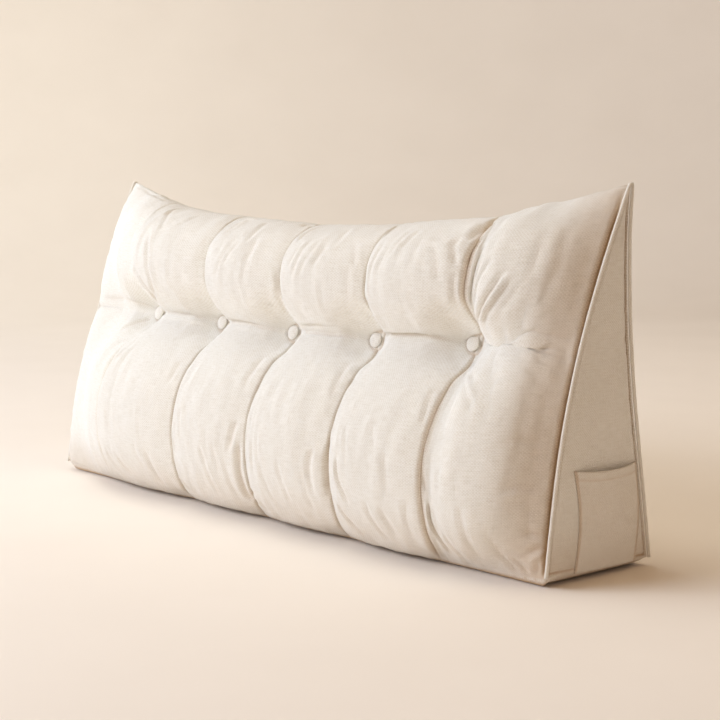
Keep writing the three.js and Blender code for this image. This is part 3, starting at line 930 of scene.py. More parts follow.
# Soft folds of the side panels: how deep, half the breadth, and the places (y, z)
SIDE_FOLDS = [
    (1.6, 5, [(152, 314), (132, 304), (108, 300)]),
    (1.2, 4, [(154, 296), (138, 290), (120, 290)]),
    (1.0, 4, [(150, 352), (138, 347), (126, 346)]),
    (1.0, 4, [(149, 398), (140, 394), (132, 394)]),
    (1.2, 5, [(60, 200), (84, 206), (104, 204)]),
    (0.9, 6, [(172, 236), (150, 230), (128, 232)]),
    (0.9, 5, [(176, 190), (158, 186), (140, 190)]),
]
FOLD_END = 0.5
# Soft folds of the back panel: how deep, half the breadth, and the places (x, z)
BACK_FOLDS = [
    (3.0, 16, [(-585, 480), (-530, 400), (-450, 320), (-380, 275)]),
    (3.0, 16, [(585, 485), (535, 405), (465, 330), (395, 290)]),
    (2.4, 14, [(-590, 40), (-530, 78), (-455, 100), (-390, 108)]),
    (2.4, 14, [(590, 42), (535, 84), (460, 110), (385, 116)]),
    (1.8, 10, [(592, 300), (545, 292), (480, 296)]),
    (1.5, 9, [(592, 210), (552, 206), (500, 210)]),
    (1.8, 10, [(-592, 280), (-545, 274), (-485, 280)]),
    (1.4, 9, [(-592, 190), (-555, 184), (-505, 190)]),
    (2.6, 15, [(-400, 452), (-396, 390), (-384, 320), (-376, 260)]),
    (2.8, 15, [(-200, 446), (-206, 380), (-216, 300), (-220, 240)]),
    (2.6, 15, [(0, 444), (8, 372), (4, 300), (-4, 250)]),
    (2.8, 15, [(200, 446), (210, 384), (224, 310), (228, 250)]),
    (2.4, 15, [(400, 456), (394, 392), (384, 326), (382, 270)]),
]
BACK_FOLD_STRENGTH = 1.7
BACK_SWELL = 3.2
BACK_SWELL_ACROSS = 75.0
BACK_SWELL_ALONG = 190.0
BACK_CROSS = 0.9
BACK_CROSS_ACROSS = 130.0
BACK_CROSS_ALONG = 15.0
BACK_NOISE_START = 30.0
BACK_SEAM_REACH = 25.0
BACK_FOOT_ROWS = 0.3
# Painted shade along the back panel's seam under the piping
BACK_SEAM_SHADE = 0.6
BACK_SEAM_BREADTH = 3.5
PUCKER_HEIGHT = 1.2
PUCKER_PLACE = 8.0
PUCKER_REACH = 26.0
PUCKER_FREE = 6.0
PUCKER_ALONG = 9.0
PUCKER_ACROSS = 40.0
PUCKER_NOISE_START = 20.0
GATHER_HEIGHT = 0.9
GATHER_REACH = 75.0
GATHER_FREE = 8.0
GATHER_ACROSS = 11.0
GATHER_ALONG = 90.0

# How much fuller the cloth of the end columns is than the measured solid
END_FILL = {-1: 9.0, 1: 27.0}
END_RISE = {-1: 10.0, 1: 68.0}
END_FADE_START = {-1: 25.0, 1: 75.0}
END_FADE = {-1: 80.0, 1: 120.0}
END_FOOT_ROWS = {-1: 0.35, 1: 3.2}
END_TOP_ROWS = {-1: 2.2, 1: 5.5}


def filled_height(station, row):
    """How far the filling pushes the cloth of the end columns out of the measured solid."""
    height = np.zeros_like(station)
    from_seam = RIM_X - np.abs(station)
    for side in (-1, 1):
        rise = smooth(from_seam / END_RISE[side])
        fall = 1 - smooth((from_seam - END_FADE_START[side]) / END_FADE[side])
        ends = smooth(row / END_FOOT_ROWS[side]) * smooth((TOP_ROW + 0.5 - row) / END_TOP_ROWS[side])
        height += END_FILL[side] * rise * fall * ends * (station * side > OUTER_BUTTON_X)
    return height


def slot_share(station, row):
    """1 in the middle of a full channel's slot, and 0 away from it, at the buttons and at both ends."""
    channel, depth = nearest_channel(station, row)
    from_button = smooth(np.abs(row - BUTTON_ROW) / SLOT_BUTTON_ROWS)
    slot = depth * from_button * smooth(row / SLOT_FOOT_ROWS)
    slot *= smooth((TOP_ROW + SLOT_TOP_ROWS - row) / SLOT_TOP_ROWS)
    return slot * bell(channel / SLOT_BREADTH)


def sewn_dent(station, row, rest):
    """How far the sewing lowers each point: channel slots, ditches beside the piping, a ring around each
    button, and the gathers; and its painted shade in the slots, ditches and rings and towards the right side
    seam."""
    run = cloth_run(row)
    slot = slot_share(station, row)
    from_seam = RIM_X - np.abs(station)
    ditch = bell((from_seam - DITCH_PLACE) / DITCH_BREADTH)
    ditch *= smooth(row / DITCH_FOOT_ROWS) * smooth((TOP_ROW - row) / DITCH_TOP_ROWS)
    ring = bell((from_buttons(rest) - SEAT_RING_RADIUS) / SEAT_RING_BREADTH)
    dent = SLOT_DEPTH * slot + DITCH_DEPTH * ditch + SEAT_RING_DEPTH * ring
    # Painted shade in the slots, ditches and button rings
    shade = SLOT_SHADE * slot + DITCH_SHADE * ditch + SEAT_SHADE * ring
    # Painted shade towards the right side seam, on the right end only
    shade += EDGE_SHADE * (1 - smooth(from_seam / EDGE_SHADE_REACH)) * (station > 0)
    across = np.sign(station) * from_seam / PUCKER_ACROSS + PUCKER_NOISE_START
    pucker = value_noise(run / PUCKER_ALONG, across, SEED + 21)
    pucker_place = bell((from_seam - PUCKER_PLACE) / PUCKER_REACH) * smooth(from_seam / PUCKER_FREE)
    gather = value_noise(station / GATHER_ACROSS, run / GATHER_ALONG, SEED + 22)
    gather_place = smooth(run / GATHER_FREE) * (1 - smooth(run / GATHER_REACH))
    dent += PUCKER_HEIGHT * pucker * pucker_place + GATHER_HEIGHT * gather * gather_place
    return dent, shade


def soft_folds(flat, folds):
    """How far soft folds lower the points of a flat panel. Each fold dies away towards its last place."""
    dent = np.zeros(len(flat))
    for depth, breadth, places in folds:
        line = catmull(places, np.linspace(0, len(places) - 1, FOLD_SAMPLES))
        apart = np.linalg.norm(flat[:, None, :] - line[None, :, :], axis=-1)
        share = apart.argmin(1) / (len(line) - 1)
        dent += depth * bell(apart.min(1) / breadth) * smooth((1 - share) / FOLD_END)
    return dent


def press_in(mesh, chosen, dent):
    """Moves the chosen points inwards along their normals, by a dent in millimetres."""
    points = read_points(mesh)
    points[chosen] -= read_normals(mesh)[chosen] * (dent * MM)[:, None]
    write_points(mesh, points)


def crease_sides(mesh, shade):
    """Ditches beside the piping, a line along the foot seam and soft folds on both side panels, with painted
    shade in the ditches and the foot line.
    """
    kind = read_layer(mesh, "kind")
    points = local_points(mesh)
    for side in (-1, 1):
        panel = np.nonzero((kind > KIND_SIDE - KIND_SLACK) & (points[:, 0] * side > 0))[0]
        flat = points[panel][:, 1:]
        seam = catmull(SEAM_GUIDES[side], np.linspace(0, LAST_ROW, SEAM_SAMPLES))
        from_seam = np.linalg.norm(flat[:, None, :] - seam[None, :, :], axis=-1).min(1)
        ditch = bell((from_seam - SIDE_DITCH_PLACE) / SIDE_DITCH_BREADTH)
        ditch *= smooth((TIP_Z - flat[:, 1]) / SIDE_TIP_REACH)
        from_foot = flat[:, 1] - foot_seam(np.clip(flat[:, 0] / BASE_DEPTH, 0, 1))
        foot_line = bell((from_foot - SIDE_FOOT_PLACE) / SIDE_FOOT_BREADTH)
        dent = SIDE_DITCH_DEPTH * ditch + SIDE_FOOT_DENT * foot_line + soft_folds(flat, SIDE_FOLDS)
        # Painted shade in the ditches and along the foot line
        shade[panel] += SIDE_DITCH_SHADE * ditch + SIDE_FOOT_SHADE * foot_line
        points[panel, 0] -= side * dent * smooth(from_seam / SIDE_SEAM_REACH)
    write_points(mesh, to_row_frame(points))


def crease_back(mesh, shade):
    """Soft folds and swells of the plain back panel, and a painted shade line where it meets the piping."""
    station, row, kind = cover_layers(mesh)
    back = np.nonzero((kind < KIND_SLACK) & (row > TOP_ROW + 1))[0]
    station = station[back]
    row = row[back]
    run = cloth_run(row)
    from_seam = RIM_X - np.abs(station)
    swell_x = station / BACK_SWELL_ACROSS + BACK_NOISE_START
    cross_x = station / BACK_CROSS_ACROSS + BACK_NOISE_START
    dent = BACK_FOLD_STRENGTH * soft_folds(local_points(mesh)[back][:, [0, 2]], BACK_FOLDS)
    dent += BACK_SWELL * value_noise(swell_x, run / BACK_SWELL_ALONG, SEED + 31)
    dent += BACK_CROSS * value_noise(cross_x, run / BACK_CROSS_ALONG, SEED + 32)
    dent *= smooth(from_seam / BACK_SEAM_REACH) * smooth(row - TOP_ROW - 1)
    press_in(mesh, back, dent * smooth((LAST_ROW - row) / BACK_FOOT_ROWS))
    # Painted shade along the seam under the piping
    shade[back] += BACK_SEAM_SHADE * bell(from_seam / BACK_SEAM_BREADTH)


def crease_front(mesh, shade):
    """The sewing, the creases placed one by one and the fuller end columns of the front and the top."""
    station, row, kind = cover_layers(mesh)
    front = np.nonzero((kind < KIND_SLACK) & (row >= 0) & (row <= TOP_ROW + 1))[0]
    station = station[front]
    row = row[front]
    rest = cover_point(station, row)
    dent, dark = sewn_dent(station, row, rest)
    creased = np.zeros_like(dent)
    for depth, breadth, places in CREASES:
        close, deeper, darker = crease_dent(rest, depth, breadth, places)
        creased[close] += deeper
        dark[close] += darker
    dent += CREASE_CAP * np.tanh(creased / CREASE_CAP) - filled_height(station, row)
    press_in(mesh, front, dent)
    # Painted shade from the sewing and the creases
    shade[front] += dark


def crease_cover(mesh):
    """Moves the points for all creases and seams, and stores each point's painted shade, from 0 to 1, for
    the material: in folds and seams, a contact shadow at the floor and darker cloth towards the foot."""
    shade = np.zeros(len(mesh.vertices))
    crease_front(mesh, shade)
    crease_back(mesh, shade)
    crease_sides(mesh, shade)
    points = read_points(mesh)
    points[:, 2] = np.maximum(points[:, 2], 0.0)
    write_points(mesh, points)
    height = points[:, 2] / MM
    # Painted contact shadow near the floor and painted shade towards the foot
    shade += CONTACT_SHADE * (1 - smooth(height / CONTACT_HEIGHT))
    shade += FOOT_SHADE * (1 - smooth(height / FOOT_HEIGHT))
    add_layer(mesh, "painted_shade", "FLOAT", "POINT", np.clip(shade, 0, 1))


def add_cover():
    piece = cover_mesh()
    simulate_cover(piece)
    subdivide(piece)
    crease_cover(piece.data)
    piece.data.shade_smooth()
    return piece


class Graph:
    """Short words for adding and joining a material's nodes."""

    def __init__(self, name):
        self.material = bpy.data.materials.new(name)
        self.material.use_nodes = True
        self.tree = self.material.node_tree
        self.shader = self.tree.nodes["Principled BSDF"]

    def node(self, kind, **settings):
        made = self.tree.nodes.new(kind)
        for key, value in settings.items():
            setattr(made, key, value)
        return made

    def link(self, source, target):
        self.tree.links.new(source, target)

    def fill(self, sockets, values):
        """Joins each socket to a value that is a socket, and sets it to one that is a number or colour."""
        for socket, value in zip(sockets, values):
            if isinstance(value, tuple):
                socket.default_value = (*value, 1.0)
            elif isinstance(value, (int, float)):
                socket.default_value = value
            else:
                self.link(value, socket)

    def set_shader(self, **values):
        """Sets the shader's sockets by their names, with _ for a space."""
        for name, value in values.items():
            self.shader.inputs[name.replace("_", " ")].default_value = value

    def attribute(self, name):
        return self.node("ShaderNodeAttribute", attribute_name=name, attribute_type="GEOMETRY")

    def math(self, operation, *values):
        made = self.node("ShaderNodeMath", operation=operation)
        self.fill(made.inputs, values)
        return made.outputs[0]

    def add(self, a, b):
        return self.math("ADD", a, b)

    def times(self, a, b):
        return self.math("MULTIPLY", a, b)

    def ridges(self, place, count):
        """Rounded ridges from 0 to 1, so many for each unit."""
        return self.math("ABSOLUTE", self.math("SINE", self.times(place, math.pi * count)))

    def choose(self, share, first, second):
        """The first value where share is 1, and the second where it is 0."""
        rest = self.math("SUBTRACT", 1.0, share)
        return self.add(self.times(first, share), self.times(second, rest))

    def noise(self, vector, scale, detail=2.0, roughness=0.5):
        made = self.node("ShaderNodeTexNoise")
        self.link(vector, made.inputs["Vector"])
        made.inputs["Scale"].default_value = scale
        made.inputs["Detail"].default_value = detail
        made.inputs["Roughness"].default_value = roughness
        return made.outputs["Fac"]

    def stretched_noise(self, vector, across, along):
        made = self.node("ShaderNodeMapping")
        made.inputs["Scale"].default_value = (across, along, 1.0)
        self.link(vector, made.inputs["Vector"])
        return self.noise(made.outputs[0], 1.0)

    def ramp(self, value, places, *colours):
        """From one colour to another while the value goes from one place to the other."""
        made = self.node("ShaderNodeValToRGB")
        for element, place, colour in zip(made.color_ramp.elements, places, colours):
            element.position = place
            element.color = (*colour, 1.0)
        self.link(value, made.inputs["Fac"])
        return made.outputs["Color"]

    def multiply(self, share, first, second):
        """The first colour, multiplied by the second by a share."""
        made = self.node("ShaderNodeMix", data_type="RGBA", blend_type="MULTIPLY")
        self.fill([s for s in made.inputs if s.enabled], (share, first, second))
        return [s for s in made.outputs if s.enabled][0]

    def bump(self, height, strength, distance, below=None):
        made = self.node("ShaderNodeBump")
        made.inputs["Strength"].default_value = strength
        made.inputs["Distance"].default_value = distance
        self.link(height, made.inputs["Height"])
        if below is not None:
            self.link(below, made.inputs["Normal"])
        return made.outputs[0]


# The cloth. Scales of noise are for each metre of cloth, and bumps are a strength and a distance
WEAVE_CELL = 2.0
WEAVE_WOBBLE = 0.0009
WOBBLE_SCALE = 90.0
THREADS = 2
THREAD_ROUND = (0.6, 0.4)
WEFT_HEIGHT = 0.32
WEAVE_BUMP = (0.8, 0.0006)
SLUB_LONG = 60.0
SLUB_FINE = 560.0
SLUB_HEIGHT = 0.8
SLUB_TONE = 0.4
HEIGHT_TONE = 0.6
THREAD_RAMP = (0.15, 0.5)
STREAK_RAMP = (0.36, 0.56)
STAIN_SCALE = 14.0
STAIN_DETAIL = 4.0
STAIN_ROUGHNESS = 0.6
STAIN_RAMP = (0.3, 0.7)
CRINKLE_SCALES = (95.0, 22.0)
CRINKLE_BUMP = (0.5, 0.0012)
DULL_ROUGHNESS = 0.96
THREAD_GLOSS = -0.12
WHITE = (1.0, 1.0, 1.0)
STAIN_COLOUR = (0.975, 0.97, 0.96)
STREAK_COLOUR = (0.96, 0.955, 0.945)
# Brown that the painted shade multiplies into the cloth colour
PAINTED_SHADE_COLOUR = (0.58, 0.35, 0.13)


def weave_threads(g, place):
    """Height of paired threads, two over and two under, and 1 where the warp is on top."""
    wobble = g.noise(place, WOBBLE_SCALE)
    split = g.node("ShaderNodeSeparateXYZ")
    g.link(place, split.inputs[0])
    shift = g.times(wobble, WEAVE_WOBBLE)
    u, v = (g.times(g.add(split.outputs[axis], shift), 1.0 / (WEAVE_CELL * MM)) for axis in (0, 1))
    over = g.math("PINGPONG", g.add(g.math("FLOOR", u), g.math("FLOOR", v)), 1.0)
    warp = g.times(g.ridges(u, THREADS), g.math("MULTIPLY_ADD", g.ridges(v, 1), *THREAD_ROUND))
    weft = g.times(g.ridges(v, THREADS), g.math("MULTIPLY_ADD", g.ridges(u, 1), *THREAD_ROUND))
    return g.choose(over, warp, g.times(weft, WEFT_HEIGHT)), over


def basket_weave(name, light, deep):
    """Basket weave with slubs, linen streaks, faint mottling, painted shade in the folds, seams and towards
    the foot, and a soft sheen.
    """
    g = Graph(name)
    place = g.attribute("cloth_place").outputs["Vector"]
    height, over = weave_threads(g, place)
    slub_u = g.stretched_noise(place, SLUB_FINE, SLUB_LONG)
    slub_v = g.stretched_noise(place, SLUB_LONG, SLUB_FINE)
    slub = g.choose(over, slub_u, slub_v)
    streak = g.times(g.add(slub_u, slub_v), 0.5)
    mottle = g.noise(place, STAIN_SCALE, STAIN_DETAIL, STAIN_ROUGHNESS)
    tone = g.math("MULTIPLY_ADD", slub, SLUB_TONE, g.times(height, HEIGHT_TONE))
    thread = g.ramp(tone, THREAD_RAMP, deep, light)
    stain = g.ramp(mottle, STAIN_RAMP, STAIN_COLOUR, WHITE)
    linen = g.ramp(streak, STREAK_RAMP, STREAK_COLOUR, WHITE)
    colour = g.multiply(1.0, g.multiply(1.0, thread, stain), linen)
    # Painted shade: the cloth is darkened and browned in folds, seams, at the floor and towards the foot
    colour = g.multiply(g.attribute("painted_shade").outputs["Fac"], colour, PAINTED_SHADE_COLOUR)
    g.link(colour, g.shader.inputs["Base Color"])
    rough = g.math("MULTIPLY_ADD", tone, THREAD_GLOSS, DULL_ROUGHNESS)
    g.link(rough, g.shader.inputs["Roughness"])
    crinkle = g.bump(g.stretched_noise(place, *CRINKLE_SCALES), *CRINKLE_BUMP)
    cloth = g.bump(g.add(height, g.times(slub, SLUB_HEIGHT)), *WEAVE_BUMP, crinkle)
    g.link(cloth, g.shader.inputs["Normal"])
    g.set_shader(Diffuse_Roughness=0.9, Sheen_Weight=0.25, Sheen_Roughness=0.6, Specular_IOR_Level=0.2)
    return g.material


# Piping
PIPE_RADIUS = 2.5
PIPE_OUTSET = 2.06
PIPE_SIDES = 16
PIPE_STEPS = 420
PIPE_CAP = 0.8
PIPE_UNEVEN = 0.05
PIPE_BUMP_LENGTH = 9.0
PIPE_BUMPS_ROUND = 8


def tube(name, line, radii):
    """A closed tube with rounded ends along a line of points, in local millimetres."""
    tangent = unit_rows(np.gradient(line, axis=0))
    side = unit_rows(np.cross(tangent, np.array([1.0, 0.0, 0.0])))
    up = np.cross(tangent, side)
    angles = np.linspace(0, 2 * math.pi, PIPE_SIDES, endpoint=False)[None, :, None]
    ring = np.cos(angles) * side[:, None, :] + np.sin(angles) * up[:, None, :]
    points = list((line[:, None, :] + ring * radii[:, :, None]).reshape(-1, 3))
    faces = []
    for a in range(0, (len(line) - 1) * PIPE_SIDES, PIPE_SIDES):
        for k in range(PIPE_SIDES):
            n = (k + 1) % PIPE_SIDES
            faces.append((a + k, a + n, a + PIPE_SIDES + n, a + PIPE_SIDES + k))
    for at, direction in ((0, -1.0), (len(line) - 1, 1.0)):
        tip = len(points)
        points.append(line[at] + tangent[at] * direction * PIPE_CAP)
        for k in range(PIPE_SIDES):
            a = at * PIPE_SIDES + k
            b = at * PIPE_SIDES + (k + 1) % PIPE_SIDES
            faces.append((b, a, tip) if direction < 0 else (a, b, tip))
    piece = new_piece(name, to_row_frame(points).tolist(), faces)
    bm = bmesh.new()
    bm.from_mesh(piece.data)
    bmesh.ops.recalc_face_normals(bm, faces=bm.faces[:])
    bm.to_mesh(piece.data)
    bm.free()
    number = np.arange(len(points))
    along = run_along(line)[np.minimum(number // PIPE_SIDES, len(line) - 1)]
    places = np.stack([along, number % PIPE_SIDES, np.zeros(len(points))], -1)
    add_layer(piece.data, "cloth_place", "FLOAT_VECTOR", "POINT", places * MM)
    piece.data.shade_smooth()
    return piece


def piping(name, side):
    """Cloth-covered cord outside the seam, up the front edge, over the tip and down the back edge."""
    line = catmull(SEAM_GUIDES[side], np.linspace(0, LAST_ROW, PIPE_SAMPLES))
    run = run_along(line)
    tangent = unit_rows(np.gradient(line, axis=0))
    moved = line + np.stack([-tangent[:, 1], tangent[:, 0]], -1) * PIPE_OUTSET
    length = np.linspace(0, run[-1], PIPE_STEPS)
    even = np.interp(length, run, np.arange(len(run)))
    x = np.full(PIPE_STEPS, side * (RIM_X + PIPE_OUTSET))
    y, z = (np.interp(even, np.arange(len(run)), moved[:, axis]) for axis in (0, 1))
    turn = np.arange(PIPE_SIDES) / PIPE_SIDES * PIPE_BUMPS_ROUND
    bumps = value_noise(length[:, None] / PIPE_BUMP_LENGTH, turn[None, :], SEED + 3 + side)
    return tube(name, np.stack([x, y, z], -1), PIPE_RADIUS * (1.0 + PIPE_UNEVEN * bumps))


# Buttons: the profile goes from the middle of the underside to the top of the dome, as radius and height
BUTTON_GAP = 0.3
BUTTON_PROFILE = [
    (0.0, BUTTON_GAP), (4.0, BUTTON_GAP), (8.0, 0.9), (10.6, 1.9), (11.7, 2.8), (12.0, 3.7), (11.8, 4.5),
    (11.2, 5.2), (9.8, 6.1), (7.8, 6.95), (5.4, 7.6), (2.8, 7.95), (0.0, 8.0),
]
BUTTON_SIDES = 48
TUCKS = 13
TUCK_DEPTH = 0.35
TUCK_HEIGHT = 2.4
TUCK_REACH = 1.3


def button_points(turn):
    """The button's points before it is placed, and their places in the cloth."""
    points = [(0, 0, BUTTON_PROFILE[0][1])]
    places = [(0, 0, 0)]
    for radius, height in BUTTON_PROFILE[1:-1]:
        for k in range(BUTTON_SIDES):
            angle = 2 * math.pi * k / BUTTON_SIDES
            tuck = TUCK_DEPTH * math.sin(angle * TUCKS + turn) * bell((height - TUCK_HEIGHT) / TUCK_REACH)
            r = radius + tuck
            points.append((r * math.cos(angle), r * math.sin(angle), height))
            places.append((r * math.cos(angle + turn), r * math.sin(angle + turn), 0))
    points.append((0, 0, BUTTON_PROFILE[-1][1]))
    places.append((0, 0, 0))
    return np.array(points, float), np.array(places, float)


def button(name, place, turn):
    """Covered button: cloth drawn over a domed form, with small tucks under its edge."""
    z_axis = Vector(BUTTON_AXIS)
    x_axis = Vector((1, 0, 0))
    basis = np.array([x_axis, z_axis.cross(x_axis), z_axis])
    points, places = button_points(turn)
    last = len(points) - 1
    top_ring = last - BUTTON_SIDES
    faces = []
    for k in range(BUTTON_SIDES):
        n = (k + 1) % BUTTON_SIDES
        faces.append((0, 1 + n, 1 + k))
        for a in range(1, top_ring, BUTTON_SIDES):
            b = a + BUTTON_SIDES
            faces.append((a + k, a + n, b + n, b + k))
        faces.append((top_ring + k, top_ring + n, last))
    piece = new_piece(name, to_row_frame(points @ basis + place).tolist(), faces)
    add_layer(piece.data, "cloth_place", "FLOAT_VECTOR", "POINT", places * MM)
    subdivide(piece)
    piece.data.shade_smooth()
    return piece


# Patch pocket
POCKET_BACK_Y = 172.0
POCKET_FRONT_BOW = 10.0
POCKET_BACK_BOW = 8.0
POCKET_MOUTH = 149.0
POCKET_SAG = 4.0
POCKET_FALL = 2.0
POCKET_GAPE = 9.0
POCKET_BELLY = 0.9
POCKET_CLOTH = 1.4
POCKET_GAP = 0.35
POCKET_ACROSS = 48
POCKET_UP = 54
HEM = 14.0
HEM_OVER = 0.6
HEM_STEP = 1.2
HEM_CLOTH = 0.7
STITCH_LINE = 2.5
SECOND_LINE = 8.0
STITCH_DEPTH = 0.5
SECOND_DEPTH = 0.4
HEM_STITCH = 0.9
EDGE_STITCH = 0.8
STITCH_BREADTH = 1.3
# Painted shade in the pocket's stitch lines and along its sewn edge
STITCH_SHADE = 0.42
SEWN_EDGE_SHARE = 0.8
HEM_LINE_SHARE = 0.7
POCKET_SWELL = 0.5
POCKET_SWELL_ACROSS = 26.0
POCKET_SWELL_UP = 40.0
POCKET_SWELL_FREE = 20.0


def pocket_point(a, b):
    """A point of the pocket's inner face: a goes from its front edge to its back edge, b up from its foot."""
    front = POCKET_FRONT_Y + POCKET_FRONT_BOW * np.sin(np.pi * b)
    back = POCKET_BACK_Y + POCKET_BACK_BOW * np.sin(np.pi * b)
    middle = 4 * a * (1 - a)
    foot = foot_seam(mix(POCKET_FRONT_Y, POCKET_BACK_Y, a) / BASE_DEPTH)
    mouth = POCKET_MOUTH - POCKET_SAG * middle - POCKET_FALL * a
    x = RIM_X + POCKET_GAP + POCKET_GAPE * middle * b**POCKET_BELLY
    return np.stack([x, mix(front, back, a), mix(foot, mouth, b)], -1)


def pocket_stand(across, height, from_mouth, edge):
    """How far the pocket's outer face stands before the inner one: the cloth, thicker in the hem and
    thinner in the stitch lines, and its soft swells."""
    cloth = POCKET_CLOTH + HEM_CLOTH * smooth((HEM + HEM_OVER - from_mouth) / HEM_STEP)
    cloth = cloth - STITCH_DEPTH * bell((from_mouth - HEM + STITCH_LINE) / HEM_STITCH)
    cloth = cloth - STITCH_DEPTH * bell((edge - STITCH_LINE) / EDGE_STITCH)
    cloth = cloth - SECOND_DEPTH * bell((edge - SECOND_LINE) / EDGE_STITCH)
    swell = value_noise(across / POCKET_SWELL_ACROSS, height / POCKET_SWELL_UP, SEED + 11)
    return cloth + np.maximum(0, POCKET_SWELL * swell * smooth(edge / POCKET_SWELL_FREE))


def two_sided_faces(rows, columns):
    """Faces of a closed sheet of rows by columns of points: its inner side, numbered first, its outer
    side and its four edges."""
    faces = []

    def at(i, j, layer):
        return (layer * rows + i) * columns + j

    top = rows - 1
    last = columns - 1
    for i in range(top):
        for j in range(last):
            faces.append((at(i, j, 1), at(i, j + 1, 1), at(i + 1, j + 1, 1), at(i + 1, j, 1)))
            faces.append((at(i, j, 0), at(i + 1, j, 0), at(i + 1, j + 1, 0), at(i, j + 1, 0)))
        faces.append((at(i, 0, 1), at(i + 1, 0, 1), at(i + 1, 0, 0), at(i, 0, 0)))
        faces.append((at(i + 1, last, 1), at(i, last, 1), at(i, last, 0), at(i + 1, last, 0)))
    for j in range(last):
        faces.append((at(0, j + 1, 1), at(0, j, 1), at(0, j, 0), at(0, j + 1, 0)))
        faces.append((at(top, j, 1), at(top, j + 1, 1), at(top, j + 1, 0), at(top, j, 0)))
    return faces


def pocket():
    a = np.linspace(0, 1, POCKET_ACROSS + 1)[None, :]
    b = np.linspace(0, 1, POCKET_UP + 1)[:, None]
    a, b = np.broadcast_arrays(a, b)
    height = b * (POCKET_MOUTH - FRONT_LIFT)
    across = a * (POCKET_BACK_Y - POCKET_FRONT_Y)
    from_mouth = (1 - b) * (POCKET_MOUTH - FRONT_LIFT)
    edge = np.minimum(across, (POCKET_BACK_Y - POCKET_FRONT_Y) - across)
    inner = pocket_point(a, b)
    outer = inner.copy()
    outer[..., 0] += pocket_stand(across, height, from_mouth, edge)
    points = np.concatenate([inner.reshape(-1, 3), outer.reshape(-1, 3)])
    piece = new_piece("pocket_sheet", to_row_frame(points).tolist(), two_sided_faces(*a.shape))
    flat = np.stack([across, height, np.zeros_like(height)], -1).reshape(-1, 3)
    add_layer(piece.data, "cloth_place", "FLOAT_VECTOR", "POINT", np.concatenate([flat, flat]) * MM)
    # Painted shade along the stitch lines, the sewn edge and the hem line
    painted_stitch_shade = bell((edge - STITCH_LINE) / STITCH_BREADTH)
    painted_stitch_shade = np.maximum(painted_stitch_shade, SEWN_EDGE_SHARE * bell(edge / STITCH_BREADTH))
    hem_line = bell((from_mouth - HEM + STITCH_LINE) / STITCH_BREADTH)
    painted_stitch_shade = np.maximum(painted_stitch_shade, HEM_LINE_SHARE * hem_line)
    add_layer(piece.data, "painted_shade", "FLOAT", "POINT", np.tile(STITCH_SHADE * painted_stitch_shade.ravel(), 2))
    piece.data.shade_smooth()
    return piece


# Stage
def add_camera():
    yaw, pitch, roll = (math.radians(v) for v in (CAMERA_YAW, CAMERA_PITCH, CAMERA_ROLL))
    forward = Vector((
        -math.sin(yaw) * math.cos(pitch),
        math.cos(yaw) * math.cos(pitch),
        -math.sin(pitch),
    ))
    level = forward.cross(Vector((0, 0, 1))).normalized()
    upright = level.cross(forward)
    right = level * math.cos(roll) + upright * math.sin(roll)
    up = upright * math.cos(roll) - level * math.sin(roll)
    data = bpy.data.cameras.new("camera")
    data.lens = CAMERA_LENS
    data.sensor_width = CAMERA_SENSOR
    data.sensor_fit = "HORIZONTAL"
    data.clip_start = 0.01
    data.clip_end = 100.0
    camera = bpy.data.objects.new("camera", data)
    turn = Matrix((right, up, -forward)).transposed().to_4x4()
    camera.matrix_world = Matrix.Translation(CAMERA_PLACE) @ turn
    bpy.context.scene.collection.objects.link(camera)
    bpy.context.scene.camera = camera


FLOOR_RADIUS = 3.5
SWEEP_RADIUS = 2.5
SWEEP_STEPS = 12
WALL_TOP = 6.0
FLOOR_SIDES = 96
PAPER_SCALE = 3.0
PAPER_DETAIL = 3.0
PAPER_RAMP = (0.3, 0.7)
PAPER_COLOURS = ((0.80, 0.72, 0.63), (0.82, 0.74, 0.65))


def backdrop_paper():
    g = Graph("backdrop_paper")
    grain = g.noise(g.node("ShaderNodeTexCoord").outputs["Object"], PAPER_SCALE, PAPER_DETAIL)
    colour = g.ramp(grain, PAPER_RAMP, *PAPER_COLOURS)
    g.link(colour, g.shader.inputs["Base Color"])
    g.set_shader(Roughness=0.9, Specular_IOR_Level=0.1)
    return g.material


def add_backdrop():
    """A round floor that sweeps up into a wall."""
    profile = [(FLOOR_RADIUS, 0.0)]
    for k in range(1, SWEEP_STEPS + 1):
        angle = math.pi / 2 * k / SWEEP_STEPS
        across = FLOOR_RADIUS + SWEEP_RADIUS * math.sin(angle)
        profile.append((across, SWEEP_RADIUS * (1 - math.cos(angle))))
    profile.append((FLOOR_RADIUS + SWEEP_RADIUS, WALL_TOP))
    points = [(0.0, 0.0, 0.0)]
    faces = []
    for radius, height in profile:
        for k in range(FLOOR_SIDES):
            angle = 2 * math.pi * k / FLOOR_SIDES
            points.append((radius * math.cos(angle), radius * math.sin(angle), height))
    for k in range(FLOOR_SIDES):
        n = (k + 1) % FLOOR_SIDES
        faces.append((0, 1 + k, 1 + n))
        for ring in range(len(profile) - 1):
            a = 1 + ring * FLOOR_SIDES
            b = a + FLOOR_SIDES
            faces.append((a + k, b + k, b + n, a + n))
    backdrop = new_piece("backdrop", points, faces)
    backdrop.data.shade_smooth()
    backdrop.data.materials.append(backdrop_paper())


def area_light(name, place, target, size, power, colour):
    data = bpy.data.lights.new(name, "AREA")
    data.shape = "RECTANGLE"
    data.size, data.size_y = size
    data.energy = power
    data.color = colour
    light = bpy.data.objects.new(name, data)
    turn = (Vector(target) - Vector(place)).to_track_quat("-Z", "Y").to_matrix().to_4x4()
    light.matrix_world = Matrix.Translation(place) @ turn
    light.visible_camera = False
    bpy.context.scene.collection.objects.link(light)


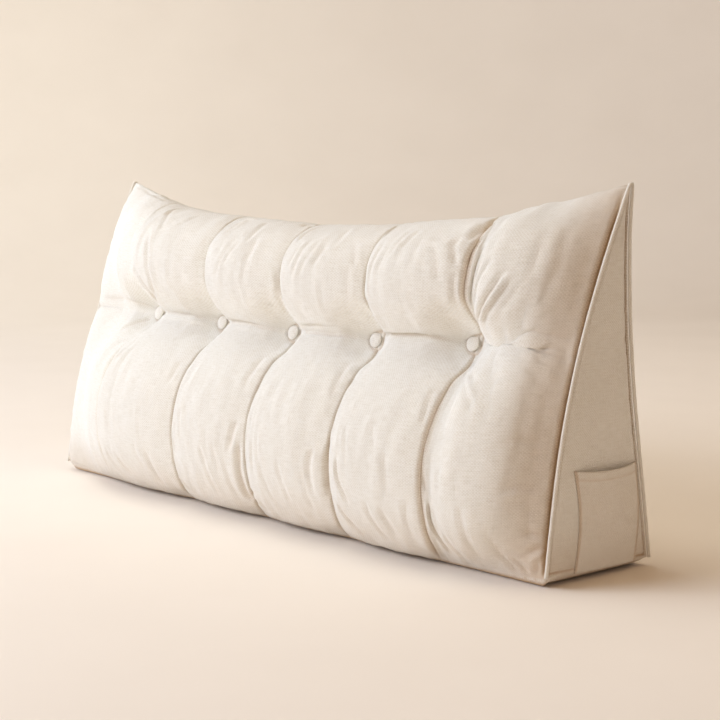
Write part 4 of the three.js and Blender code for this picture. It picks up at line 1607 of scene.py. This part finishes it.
def add_lights():
    area_light("key", (-4.6, -3.1, 2.3), (0.0, 0.0, 0.25), (3.6, 2.8), 164.0, (0.68, 0.80, 0.95))
    area_light("front", (-2.0, -3.4, 1.8), (0.0, 0.0, 0.25), (2.6, 2.0), 168.0, (0.73, 0.82, 0.98))
    area_light("top", (-1.0, -0.4, 3.8), (0.0, 0.0, 0.2), (2.4, 2.4), 70.0, (0.92, 0.94, 0.88))
    area_light("wall", (-4.0, 0.5, 2.2), (-2.5, 4.5, 2.4), (1.5, 1.5), 52.0, (0.96, 1.0, 0.93))
    area_light("bounce", (1.2, 1.0, 3.4), (0.8, 0.3, 0.0), (2.4, 2.0), 19.0, (1.0, 0.74, 0.40))
    world = bpy.data.worlds.new("studio")
    world.use_nodes = True
    world.node_tree.nodes["Background"].inputs["Color"].default_value = (1.0, 0.38, 0.13, 1.0)
    world.node_tree.nodes["Background"].inputs["Strength"].default_value = 0.12
    bpy.context.scene.world = world


# The light and the deep colour of each cloth, by material slot
CLOTH_COLOURS = {
    "cover_cloth": ((0.99, 0.965, 0.905), (0.80, 0.745, 0.64)),
    "piping_cloth": ((0.99, 0.955, 0.89), (0.80, 0.735, 0.625)),
    "pocket_cloth": ((0.985, 0.94, 0.865), (0.78, 0.71, 0.60)),
    "button_cloth": ((0.99, 0.965, 0.905), (0.81, 0.75, 0.65)),
}
BUTTON_TURN = 1.3


def finish_piece(piece, node, slot):
    piece.data.materials.clear()
    piece.data.materials.append(cloths[slot])
    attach(piece, BODY)
    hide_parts(node)


bpy.context.scene.view_settings.view_transform = "Standard"
add_camera()
add_backdrop()
add_lights()

cloths = {slot: basket_weave(slot, *colours) for slot, colours in CLOTH_COLOURS.items()}

cover = add_cover()
finish_piece(cover, "cushion", "cover_cloth")
finish_piece(piping("piping_cord_left", -1), "piping_left", "piping_cloth")
finish_piece(piping("piping_cord_right", 1), "piping_right", "piping_cloth")
for number, spot in enumerate(BUTTONS, 1):
    made = button("tuft_button_%d" % number, spot[:3], number * BUTTON_TURN)
    finish_piece(made, "button_%d" % number, "button_cloth")
pocket_piece = pocket()
finish_piece(pocket_piece, "side_pocket", "pocket_cloth")
